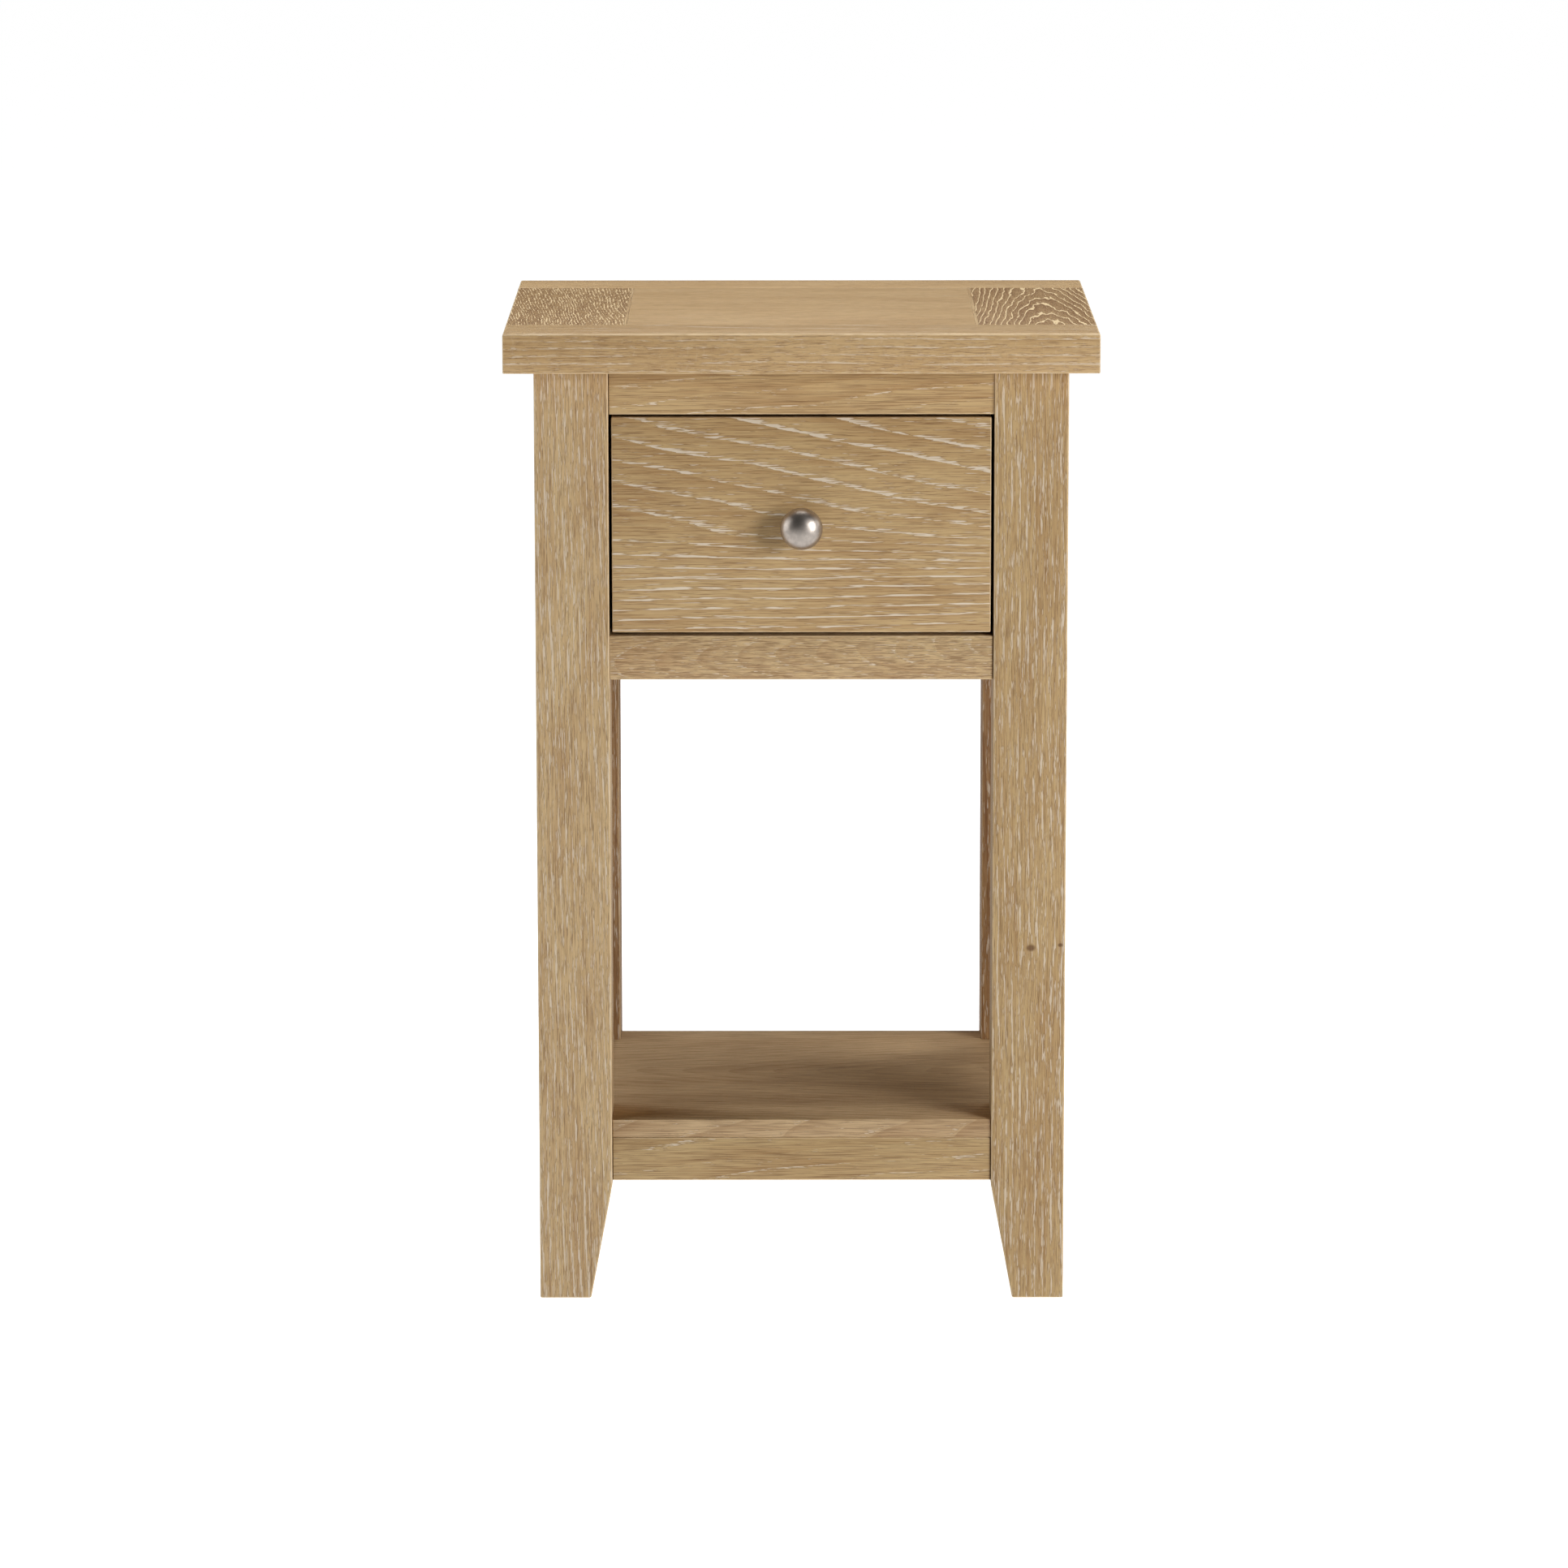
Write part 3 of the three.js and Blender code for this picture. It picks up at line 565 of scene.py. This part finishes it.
def turning_tree():
    """Turns an outline about Z. Each point of it gives radius, share of thread, and height."""
    tree, given = geometry_tree("turned", [
        ("Sides", "Int", 48), ("Thread Pitch", "Float", 0.0018), ("Thread Depth", "Float", 0.0)])
    at = given.outputs
    rings = lay(tree, "GeometryNodeAttributeDomainSize", {0: at["Geometry"]}).outputs["Point Count"]
    last = sums(tree, "SUBTRACT", rings, 1.0)
    around = sums(tree, "ADD", at["Sides"], 1.0)
    sizes = {"Size X": last, "Size Y": 1.0, "Vertices X": rings, "Vertices Y": around}
    grid = lay(tree, "GeometryNodeMeshGrid", sizes).outputs[0]
    on_grid = lay(tree, "GeometryNodeInputPosition").outputs[0]
    on_grid = lay(tree, "ShaderNodeSeparateXYZ", {0: on_grid}).outputs
    ring = sums(tree, "ROUND", sums(tree, "MULTIPLY_ADD", last, 0.5, on_grid[0]))
    turn = sums(tree, "ADD", on_grid[1], 0.5)
    angle = sums(tree, "MULTIPLY", turn, math.tau)
    on_outline = lay(tree, "GeometryNodeInputPosition").outputs[0]
    sample = lay(tree, "GeometryNodeSampleIndex", data_type="FLOAT_VECTOR", domain="POINT")
    feed(tree, sample, {"Geometry": at["Geometry"], "Value": on_outline, "Index": ring})
    radius, thread, height = lay(tree, "ShaderNodeSeparateXYZ", {0: sample.outputs[0]}).outputs
    winding = sums(tree, "ADD", sums(tree, "DIVIDE", height, at["Thread Pitch"]), turn)
    groove = sums(tree, "PINGPONG", winding, 0.5)
    groove = sums(tree, "MULTIPLY", sums(tree, "MULTIPLY", groove, 2.0), at["Thread Depth"])
    radius = sums(tree, "SUBTRACT", radius, sums(tree, "MULTIPLY", groove, thread))
    across = sums(tree, "MULTIPLY", radius, sums(tree, "COSINE", angle))
    deep = sums(tree, "MULTIPLY", radius, sums(tree, "SINE", angle))
    spot = lay(tree, "ShaderNodeCombineXYZ", {0: across, 1: deep, 2: height}).outputs[0]
    placed = lay(tree, "GeometryNodeSetPosition", {"Geometry": grid, "Position": spot}).outputs[0]
    joined = {"Geometry": placed, "Distance": 0.01 * MM}
    closed = lay(tree, "GeometryNodeMergeByDistance", joined).outputs[0]
    lay(tree, "NodeGroupOutput", {0: closed})
    return tree


def end_tree(tree, geometry, finish):
    """Every tree ends in Realize Instances and Set Material."""
    real = lay(tree, "GeometryNodeRealizeInstances", {0: geometry}).outputs[0]
    finished = lay(tree, "GeometryNodeSetMaterial", {0: real, "Material": finish}).outputs[0]
    lay(tree, "NodeGroupOutput", {0: finished})


def turned_piece_tree(turned):
    """The turning tree with a finish, for the knob and the washer."""
    tree, given = geometry_tree("turned_piece", [("Sides", "Int", 96), ("Finish", "Material", None)])
    at = given.outputs
    shape = use_group(tree, turned, {"Geometry": at["Geometry"], "Sides": at["Sides"]}).outputs[0]
    end_tree(tree, shape, at["Finish"])
    return tree


def screws_tree(turned):
    """Cross-headed screws on points; each point's way attribute says where its screw goes in."""
    tree, given = geometry_tree("screws", [
        ("Outline", "Object", None), ("Sides", "Int", 20),
        ("Thread Pitch", "Float", 0.0018), ("Thread Depth", "Float", 0.0005),
        ("Recess Across", "Float", 0.0042), ("Recess Wide", "Float", 0.0009),
        ("Recess Deep", "Float", 0.0016), ("Finish", "Material", None), ("Seed", "Int", 3)])
    at = given.outputs
    outline = lay(tree, "GeometryNodeObjectInfo", {"Object": at["Outline"]}).outputs["Geometry"]
    threaded = {name: at[name] for name in ("Sides", "Thread Pitch", "Thread Depth")}
    body = use_group(tree, turned, {"Geometry": outline, **threaded}).outputs[0]
    tall = sums(tree, "MULTIPLY", at["Recess Deep"], 2.0)
    long, wide = at["Recess Across"], at["Recess Wide"]
    sizes = [lay(tree, "ShaderNodeCombineXYZ", {0: x, 1: y, 2: tall}).outputs[0]
             for x, y in ((long, wide), (wide, long))]
    cutters = [lay(tree, "GeometryNodeMeshCube", {"Size": size}).outputs[0] for size in sizes]
    cut = lay(tree, "GeometryNodeMeshBoolean", operation="DIFFERENCE", solver="EXACT")
    tree.links.new(body, cut.inputs["Mesh 1"])
    for cutter in cutters:
        tree.links.new(cutter, cut.inputs["Mesh 2"])
    way = lay(tree, "GeometryNodeInputNamedAttribute", {"Name": "way"}, data_type="FLOAT_VECTOR")
    given = {"Vector": way.outputs[0]}
    lined = lay(tree, "FunctionNodeAlignRotationToVector", given, axis="Z").outputs[0]
    chance = lay(tree, "FunctionNodeRandomValue", data_type="FLOAT")
    chance.inputs[3].default_value = math.tau
    tree.links.new(at["Seed"], chance.inputs["Seed"])
    spin = lay(tree, "ShaderNodeCombineXYZ", {2: chance.outputs[1]}).outputs[0]
    points = lay(tree, "GeometryNodeMeshToPoints", {0: at["Geometry"]}).outputs[0]
    given = {"Points": points, "Instance": cut.outputs[0], "Rotation": lined}
    set_in = lay(tree, "GeometryNodeInstanceOnPoints", given).outputs[0]
    given = {"Instances": set_in, "Rotation": spin}
    spun = lay(tree, "GeometryNodeRotateInstances", given).outputs[0]
    end_tree(tree, spun, at["Finish"])
    return tree


def outline_object(name, points):
    """An outline as a chain of points, in mm: radius, share of thread, height."""
    mesh = bpy.data.meshes.new(name)
    chain = [(i, i + 1) for i in range(len(points) - 1)]
    mesh.from_pydata([Vector(point) * MM for point in points], chain, [])
    made = bpy.data.objects.new(name, mesh)
    bpy.context.scene.collection.objects.link(made)
    # the outline's middle coordinate is a share, so it is put back to its own size
    for vertex, point in zip(mesh.vertices, points):
        vertex.co.y = point[1]
    return made


def run_tree(live, tree, values):
    """Adds the tree as a modifier and sets its inputs by their identifiers."""
    worker = live.modifiers.new(tree.name, "NODES")
    worker.node_group = tree
    for item in tree.interface.items_tree:
        if item.item_type == "SOCKET" and item.in_out == "INPUT" and item.name in values:
            worker[item.identifier] = values[item.name]


def tidy_normals(piece, angle):
    """Faces outwards on a closed turned mesh, smooth where it is round and crisp at its corners."""
    shape = bmesh.new()
    shape.from_mesh(piece.data)
    bmesh.ops.recalc_face_normals(shape, faces=shape.faces)
    shape.to_mesh(piece.data)
    shape.free()
    for face in piece.data.polygons:
        face.use_smooth = True
    piece.data.set_sharp_from_angle(angle=math.radians(angle))


def arc(middle, radii, start, end, steps):
    """Points of a quarter-like curve, as radius and height, from angle start to end in degrees."""
    turns = [math.radians(start + (end - start) * i / steps) for i in range(steps + 1)]
    return [(middle[0] + radii[0] * math.cos(turn), middle[1] + radii[1] * math.sin(turn))
            for turn in turns]


def knob_outline():
    """From the bottom of the screw hole, over the rose and the waist, to the crown; sizes in mm."""
    hole, hole_deep, countersink, rose, neck = 2.3, 9.3, 0.25, 7.5, 5.25
    across, back, widest_at = 28.5, 9.0, 17.0
    foot_round, rim_round, waist_round = 0.3, 1.0, (1.4, 2.6)
    reach = (knob_high.y - knob_low.y) * PER_METRE_MM
    points = [(0, hole_deep), (hole, hole_deep), (hole, countersink), (hole + countersink, 0),
              (rose - foot_round, 0)]
    points += arc((rose - foot_round, foot_round), (foot_round, foot_round), -60, 0, 3)
    points += arc((rose - rim_round, rim_round), (rim_round, rim_round), 0, 78, 6)
    points += arc((rose - 0.85, 4.6), waist_round, -100, -172, 8)
    first = -math.degrees(math.acos(2 * neck / across))
    points += arc((0, widest_at), (across / 2, back), first + 4, -4, 18)
    points += arc((0, widest_at), (across / 2, reach - widest_at), 0, 88, 24)
    points += [(0, reach)]
    return [(radius, 0, height) for radius, height in points]


def wood_screw_outline(length):
    """A countersunk screw from the middle of its head to its point, threaded below a plain neck."""
    head, shank, point, ring, rim, tip = 4.0, 2.0, 5.0, 0.36, 0.12, 0.25
    under_head = head - shank
    points = [(0, 0, 0), (head - 0.7, 0, 0), (head - rim, 0, 0), (head, 0, rim),
              (shank, 0, under_head + 0.1)]
    height, plain = under_head + 0.5, under_head + 3.0
    while height < length - 0.2:
        reach = min(shank, tip + (length - height) * (shank - tip) / point)
        points.append((reach, 0.0 if height < plain else min(1.0, reach / shank), height))
        height += ring
    return points + [(0, 0, length)]


def machine_screw_outline(length):
    """The knob's screw: a low round head and a threaded shank."""
    head, high, shank, ring, plain, rim = 4.0, 2.4, 2.0, 0.16, 1.6, 0.1
    points = [(0, 0, 0), (head - 1.3, 0, 0.05)]
    dome = arc((head - 1.1, 1.1), (1.1, 1.05), -78, 0, 5)
    points += [(radius, 0, height) for radius, height in dome]
    points += [(head, 0, high - rim), (head - rim, 0, high), (shank, 0, high)]
    height = high + 0.2
    while height < length - 0.4:
        points.append((shank, 1.0 if height > high + plain else 0.0, height))
        height += ring
    return points + [(shank - 0.5, 0, length), (0, 0, length)]


def washer_outline():
    """A flat washer with broken rims, as a closed ring."""
    hole, rim, thick, broken = 2.3, 6.0, 1.0, 0.18
    corners = [(hole + broken, 0), (rim - broken, 0), (rim, broken), (rim, thick - broken),
               (rim - broken, thick), (hole + broken, thick), (hole, thick - broken),
               (hole, broken), (hole + broken, 0)]
    return [(radius, 0, height) for radius, height in corners]


def set_screws(name, outline, spots, body, nodes, values):
    """Screws of one length on their head points, as one plain mesh."""
    mesh = bpy.data.meshes.new(name + "_heads")
    mesh.from_pydata([spot for spot, way in spots], [], [])
    ways = mesh.attributes.new("way", "FLOAT_VECTOR", "POINT")
    for entry, (spot, way) in zip(ways.data, spots):
        entry.vector = way
    live = bpy.data.objects.new(name + "_heads", mesh)
    bpy.context.scene.collection.objects.link(live)
    shape = outline_object(name + "_outline", outline)
    run_tree(live, SCREWS, {"Outline": shape, "Finish": STEEL, **values})
    piece = settle(live, name, body, None, nodes)
    bpy.data.objects.remove(shape)
    tidy_normals(piece, 35)


def turn_piece(name, outline, foot, toward, sides, finish, node, crisp):
    """A turned piece of the drawer, standing on foot with its axis along toward."""
    live = outline_object(name + "_outline", outline)
    run_tree(live, TURNED_PIECE, {"Sides": sides, "Finish": finish})
    piece = settle(live, name, "drawer", None, [node])
    turn = Vector(toward).to_track_quat("Z", "X").to_matrix().to_4x4()
    piece.data.transform(Matrix.Translation(foot) @ turn)
    tidy_normals(piece, crisp)


knob_low, knob_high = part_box("knob")
TURNED = turning_tree()
TURNED_PIECE = turned_piece_tree(TURNED)
SCREWS = screws_tree(TURNED)
NICKEL, STEEL = satin_nickel(), screw_steel()

knob_axis = Vector(((knob_low.x + knob_high.x) / 2, knob_high.y, (knob_low.z + knob_high.z) / 2))
turn_piece("drawer_knob", knob_outline(), knob_axis, FRONTWARD, 96, NICKEL, "knob", 50)
washer_foot = Vector((knob_axis.x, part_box("knob_washer")[0].y, knob_axis.z))
turn_piece("knob_screw_washer", washer_outline(), washer_foot, BACKWARD, 48, STEEL,
           "knob_washer", 30)
bolt_low, bolt_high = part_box("knob_screw")
bolt_head = Vector((knob_axis.x, bolt_high.y, knob_axis.z))
bolt_long = (bolt_high.y - bolt_low.y) * PER_METRE_MM
bolt_thread = {"Thread Pitch": 0.7 * MM, "Thread Depth": 0.35 * MM, "Sides": 32}
set_screws("knob_bolt", machine_screw_outline(bolt_long), [(bolt_head, FRONTWARD)], "drawer",
           ["knob_screw"], bolt_thread)

SCREW_WAYS = {"top": UPWARD, "guide": DOWNWARD, "shelf": UPWARD, "runner": RIGHTWARD}
for kind, way in SCREW_WAYS.items():
    nodes = [f"{kind}_screw_{hand}_{number}" for hand in ("left", "right") for number in (1, 2)]
    spots = []
    for node in nodes:
        low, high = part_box(node)
        inward = Vector(way)
        if kind == "runner" and "left" in node:
            inward = -inward
        reach = Vector(tuple((high[i] - low[i]) / 2 * inward[i] for i in range(3)))
        spots.append(((low + high) / 2 - reach, inward))
    outline = wood_screw_outline(max(high - low) * PER_METRE_MM)
    set_screws(kind + "_screws", outline, spots, "carcass", nodes, {})


# ---------------------------------------------------------------- the boards and their oak
# the way the grain runs, by the start of a board's name; the rest run left to right
GRAIN = {"leg": "Z", "drawer_stop": "Z", "top_end": "Y", "top_string": "Y", "apron_left": "Y",
         "apron_right": "Y", "lower_rail_left": "Y", "lower_rail_right": "Y", "drawer_side": "Y",
         "runner": "Y", "guide": "Y", "kicker": "Y"}


def grain_of(node):
    """The axis along which a board's grain runs."""
    for start, letter in GRAIN.items():
        if node.startswith(start):
            return letter
    return "X"


# each recipe: ring width and place in the trunk, then how the lime and the pores lie; sizes in mm
LEG_OAK = dict(
    ring_width=3.4, pith=(0, 60, 95), lean=(0, 0.01, 0.02), waver=7.0, ripple=0.5, early_share=0.5,
    band_lime=0.40, stray_lime=0.05, lime_long=11.0, lime_wide=0.62, lime_cover=0.68,
    dark_pores=0.3, pore_long=14.0, pore_wide=0.4, ring_tone=0.26)
RAIL_OAK = dict(
    ring_width=5.5, pith=(0, 70, 40), lean=(0, 0.02, 0.06), waver=9.0, ripple=0.8, early_share=0.3,
    band_lime=0.45, stray_lime=-0.05, lime_long=9.0, lime_wide=0.6, lime_cover=0.75,
    dark_pores=0.5, pore_long=22.0, pore_wide=0.3, ring_tone=0.35)
TOP_OAK = dict(
    ring_width=3.0, pith=(0, 90, 120), lean=(0, 0.01, 0.01), waver=4.0, ripple=0.4, early_share=0.4,
    band_lime=0.35, stray_lime=-0.03, lime_long=7.0, lime_wide=0.45, lime_cover=0.5,
    dark_pores=0.25, pore_long=12.0, pore_wide=0.4, ring_tone=0.2)
END_OAK = dict(
    ring_width=3.1, pith=(0, -9, -18), cone=-0.06, waver=8.0, ripple=4.0, early_share=0.32,
    band_lime=1.1, stray_lime=-0.03, lime_long=9.0, lime_wide=1.6, lime_cover=0.95,
    dark_pores=0.5, pore_long=9.0, pore_wide=0.6, ring_tone=0.6, patchiness=0.1)
LINING_OAK = dict(
    ring_width=4.5, pith=(0, 60, 110), waver=6.0, band_lime=0.0, stray_lime=-0.3,
    dark_pores=0.15, pore_long=10.0, pore_wide=0.4, ring_tone=0.35, bump=0.25)
WARM_LIME = linear(240, 214, 168)


def tints_of(early, late, **others):
    """A board's own early and late wood colours, and any other colour by name."""
    named = {"Early Colour": linear(*early), "Late Colour": linear(*late)}
    named.update({key.replace("_", " ").title(): value for key, value in others.items()})
    return named


LINING_TINTS = tints_of((214, 190, 150), (188, 158, 114), pore_colour=linear(150, 116, 78))
PALE_TINTS = tints_of((211, 182, 136), (180, 143, 99))
# the back legs' darker, redder oak: partly their own tone, partly painted shade for the shadow they stand
# in
BROWN_AND_SHADED_TINTS = tints_of((186, 148, 104), (134, 94, 58))
SHELF_TINTS = tints_of((212, 182, 140), (176, 142, 102))
TOP_TINTS = tints_of((205, 173, 126), (180, 144, 96))
END_TINTS = tints_of((180, 147, 102), (142, 106, 66), lime_colour=WARM_LIME)
STRING_TINTS = tints_of((214, 184, 138), (160, 122, 78))


def board(node, body, slot, recipe, seed, ease=0.8, rule=None, tints=None, butts=False, **changes):
    """One board: its oak from a recipe with changes, on an eased copy of its solid."""
    finish = oak(node + "_oak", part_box(node), grain_of(node), seed, tints=tints, **{**recipe, **changes})
    eased(node, body, finish, ease, rule, butts)


# legs; the front right one has a small knot and a smaller one by its outer arris
LEG_EASE = 1.1
board("leg_front_left", "carcass", "oak_frame", LEG_OAK, 1.0, LEG_EASE, tints=PALE_TINTS)
board("leg_front_right", "carcass", "oak_frame", LEG_OAK, 2.0, LEG_EASE, pith=(0, 75, -80),
      knots=(((-75.0, -25.0, -1.5), 3.4), ((-73.0, -25.0, -21.6), 1.9)))
# the back legs' darker tints are partly painted shade
board("leg_back_left", "carcass", "oak_frame", LEG_OAK, 3.0, LEG_EASE, tints=BROWN_AND_SHADED_TINTS,
      pith=(0, -60, 80), ring_tone=0.5)
board("leg_back_right", "carcass", "oak_frame", LEG_OAK, 4.0, LEG_EASE, tints=BROWN_AND_SHADED_TINTS,
      pith=(0, 50, 70), ring_tone=0.6)

# top: outer arrises rounded, more above than below, and joints between boards only just broken
TOP_EASE, UNDER_EASE, JOINT_EASE, STRING_EASE = 1.6, 0.8, 0.12, 0.06
top_low, top_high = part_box("top_board_front")[0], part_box("top_board_back")[1]
upper_part = top_high.z - 5 * MM


def top_rule(spot):
    """How far an arris of the top is eased, in mm, from where its middle is."""
    to_edge = min(spot.x - top_low.x, top_high.x - spot.x, spot.y - top_low.y, top_high.y - spot.y)
    if to_edge >= TOUCH:
        return JOINT_EASE
    return TOP_EASE if spot.z > upper_part else UNDER_EASE


board("top_board_front", "carcass", "oak_top", TOP_OAK, 5.0, TOP_EASE, top_rule, TOP_TINTS,
      band_lime=0.6, stray_lime=0.01, lime_long=8.0, lime_cover=0.5, fleck=0.1, ring_tone=0.35,
      pore_wide=0.4, ring_width=4.0, pith=(0, 30, -60), lean=(0, 0.03, 0.03))
board("top_board_back", "carcass", "oak_top", TOP_OAK, 6.0, TOP_EASE, top_rule, TOP_TINTS)
board("top_field", "carcass", "oak_top", TOP_OAK, 7.0, TOP_EASE, top_rule, TOP_TINTS)
board("top_end_left", "carcass", "oak_end_boards", END_OAK, 8.0, TOP_EASE, top_rule, END_TINTS,
      ring_width=1.7, pith=(0, -150, -90), lean=(0, 0.09, 0), cone=0.0, waver=8.0, ripple=2.2,
      early_share=0.6, band_lime=0.55, stray_lime=0.02, lime_long=15.0, lime_wide=1.3,
      lime_cover=0.8, ring_tone=0.4)
board("top_end_right", "carcass", "oak_end_boards", END_OAK, 9.0, TOP_EASE, top_rule, END_TINTS)
board("top_string_left", "carcass", "oak_inlay", TOP_OAK, 10.0, STRING_EASE, tints=STRING_TINTS)
board("top_string_right", "carcass", "oak_inlay", TOP_OAK, 11.0, STRING_EASE, tints=STRING_TINTS)

# rails, aprons and shelf, which butt against the legs
board("top_rail", "carcass", "oak_frame", RAIL_OAK, 12.0, butts=True)
board("drawer_rail", "carcass", "oak_frame", RAIL_OAK, 13.0, tints=PALE_TINTS, butts=True,
      pith=(0, 22, 4), cone=0.14, ring_width=3.2, waver=3.0, dark_pores=0.8, pore_long=9.0,
      stray_lime=0.0, band_lime=0.25)
board("lower_rail_front", "carcass", "oak_frame", RAIL_OAK, 14.0, butts=True)
FURTHER_RAILS = ("lower_rail_back", "lower_rail_left", "lower_rail_right",
                 "apron_left", "apron_right", "apron_back")
for seed, node in enumerate(FURTHER_RAILS, start=15):
    board(node, "carcass", "oak_frame", RAIL_OAK, seed, butts=True)
board("shelf", "carcass", "oak_frame", RAIL_OAK, 21.0, tints=SHELF_TINTS, butts=True,
      pith=(-40, 10, -30), cone=0.12, ring_width=6.5, waver=14.0, band_lime=0.3, lime_long=6.0,
      lime_cover=0.5, ring_tone=0.5)

# the plain oak that the drawer runs in, and the drawer
RUNNING_GEAR = ("runner_left", "runner_right", "guide_left", "guide_right",
                "kicker_left", "kicker_right", "drawer_stop_left", "drawer_stop_right")
for seed, node in enumerate(RUNNING_GEAR, start=22):
    board(node, "carcass", "drawer_lining", LINING_OAK, seed, 0.5, tints=LINING_TINTS)
front_oak = drawer_oak("drawer_front_oak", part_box("drawer_front"), 30.0, early_share=0.40,
                       band_lime=0.62, stray_lime=-0.01, lime_wide=0.9, lime_cover=0.85,
                       dark_pores=0.25, pore_long=17.0, pore_wide=0.45, ring_tone=0.34,
                       patchiness=0.25)
eased("drawer_front", "drawer", front_oak)
DRAWER_BOX = ("drawer_side_left", "drawer_side_right", "drawer_back", "drawer_bottom")
for seed, node in enumerate(DRAWER_BOX, start=31):
    board(node, "drawer", "drawer_lining", LINING_OAK, seed, 0.6, tints=LINING_TINTS)


# ---------------------------------------------------------------- room, light and camera
LAMPS_AWAY = 2.6                # metres from the table to each lamp


def area_lamp(name, size, power, azimuth, elevation):
    """A square soft box; azimuth 0 is in front of the table and 90 on its right."""
    data = bpy.data.lights.new(name, "AREA")
    data.shape = "RECTANGLE"
    data.size = data.size_y = size
    data.energy = power
    lamp = bpy.data.objects.new(name, data)
    bpy.context.scene.collection.objects.link(lamp)
    turn, rise = math.radians(azimuth), math.radians(elevation)
    back = Vector((math.sin(turn) * math.cos(rise), -math.cos(turn) * math.cos(rise), math.sin(rise)))
    lamp.location = lit_spot + back * LAMPS_AWAY
    lamp.rotation_euler = back.to_track_quat("Z", "Y").to_euler()


centre = (cad_low + cad_high) / 2
lit_spot = Vector((centre.x, centre.y, cad_high.z * 0.62))
area_lamp("key_box", 1.1, 41.0, 45, 12)
area_lamp("left_box", 1.9, 21.0, -76, 15)
area_lamp("right_box", 1.2, 11.0, 95, 20)
area_lamp("back_box", 1.6, 7.5, 165, 52)
area_lamp("overhead_box", 1.6, 47.0, 180, 80)

# the room glows from below, as a pale floor does, and is plain white where the camera sees it
GLOW_BELOW, GLOW_ABOVE = 1.12, 0.02
GLOW_FROM, GLOW_TO = -0.55, 0.12
world = bpy.data.worlds.new("studio")
bpy.context.scene.world = world
world.use_nodes = True
room = world.node_tree
room.nodes.clear()
toward = lay(room, "ShaderNodeTexCoord").outputs["Generated"]
up = lay(room, "ShaderNodeSeparateXYZ", {0: toward}).outputs[2]
glow = ease_between(room, up, GLOW_FROM, GLOW_TO, GLOW_BELOW, GLOW_ABOVE)
seen = lay(room, "ShaderNodeLightPath").outputs["Is Camera Ray"]
strength = lay(room, "ShaderNodeMix", {0: seen, 2: glow, 3: 1.0}).outputs[0]
sky = lay(room, "ShaderNodeBackground", {"Color": (1.0, 1.0, 1.0, 1.0), "Strength": strength})
lay(room, "ShaderNodeOutputWorld", {0: sky.outputs[0]})

FLOOR_HALF, FLOOR_DOWN = 30.0, 0.2 * MM
FLOOR_GLOW = 0.98
floor_mesh = bpy.data.meshes.new("floor")
CORNERS = ((-1, -1), (1, -1), (1, 1), (-1, 1))
floor_mesh.from_pydata([(x * FLOOR_HALF, y * FLOOR_HALF, -FLOOR_DOWN) for x, y in CORNERS], [],
                       [(0, 1, 2, 3)])
floor = bpy.data.objects.new("floor", floor_mesh)
bpy.context.scene.collection.objects.link(floor)
floor_paint, floor_tree, floor_shader = finish_of("floor_paint")
feed(floor_tree, floor_shader, {"Base Color": (0.8, 0.8, 0.8, 1), "Roughness": 0.9,
                                "Emission Color": (1, 1, 1, 1), "Emission Strength": FLOOR_GLOW})
floor_mesh.materials.append(floor_paint)
floor.visible_diffuse = False
floor.visible_glossy = False

bpy.context.scene.view_settings.view_transform = "Standard"

# metres from the table's middle and front, degrees down, and radians of turn and roll
CAMERA_ASIDE, CAMERA_AWAY, CAMERA_UP = -0.0094, 4.475, 1.2091
CAMERA_DOWN, CAMERA_YAW, CAMERA_ROLL = 10.68, 0.0004, 0.0008
FOCAL_MM, SENSOR_MM = 154.78, 36.0
lens = bpy.data.cameras.new("camera")
lens.lens, lens.sensor_width = FOCAL_MM, SENSOR_MM
lens.clip_start, lens.clip_end = 0.1, 100.0
camera = bpy.data.objects.new("camera", lens)
bpy.context.scene.collection.objects.link(camera)
camera.location = (centre.x + CAMERA_ASIDE, cad_low.y - CAMERA_AWAY, CAMERA_UP)
camera.rotation_euler = (math.radians(90 - CAMERA_DOWN), CAMERA_ROLL, CAMERA_YAW)
bpy.context.scene.camera = camera
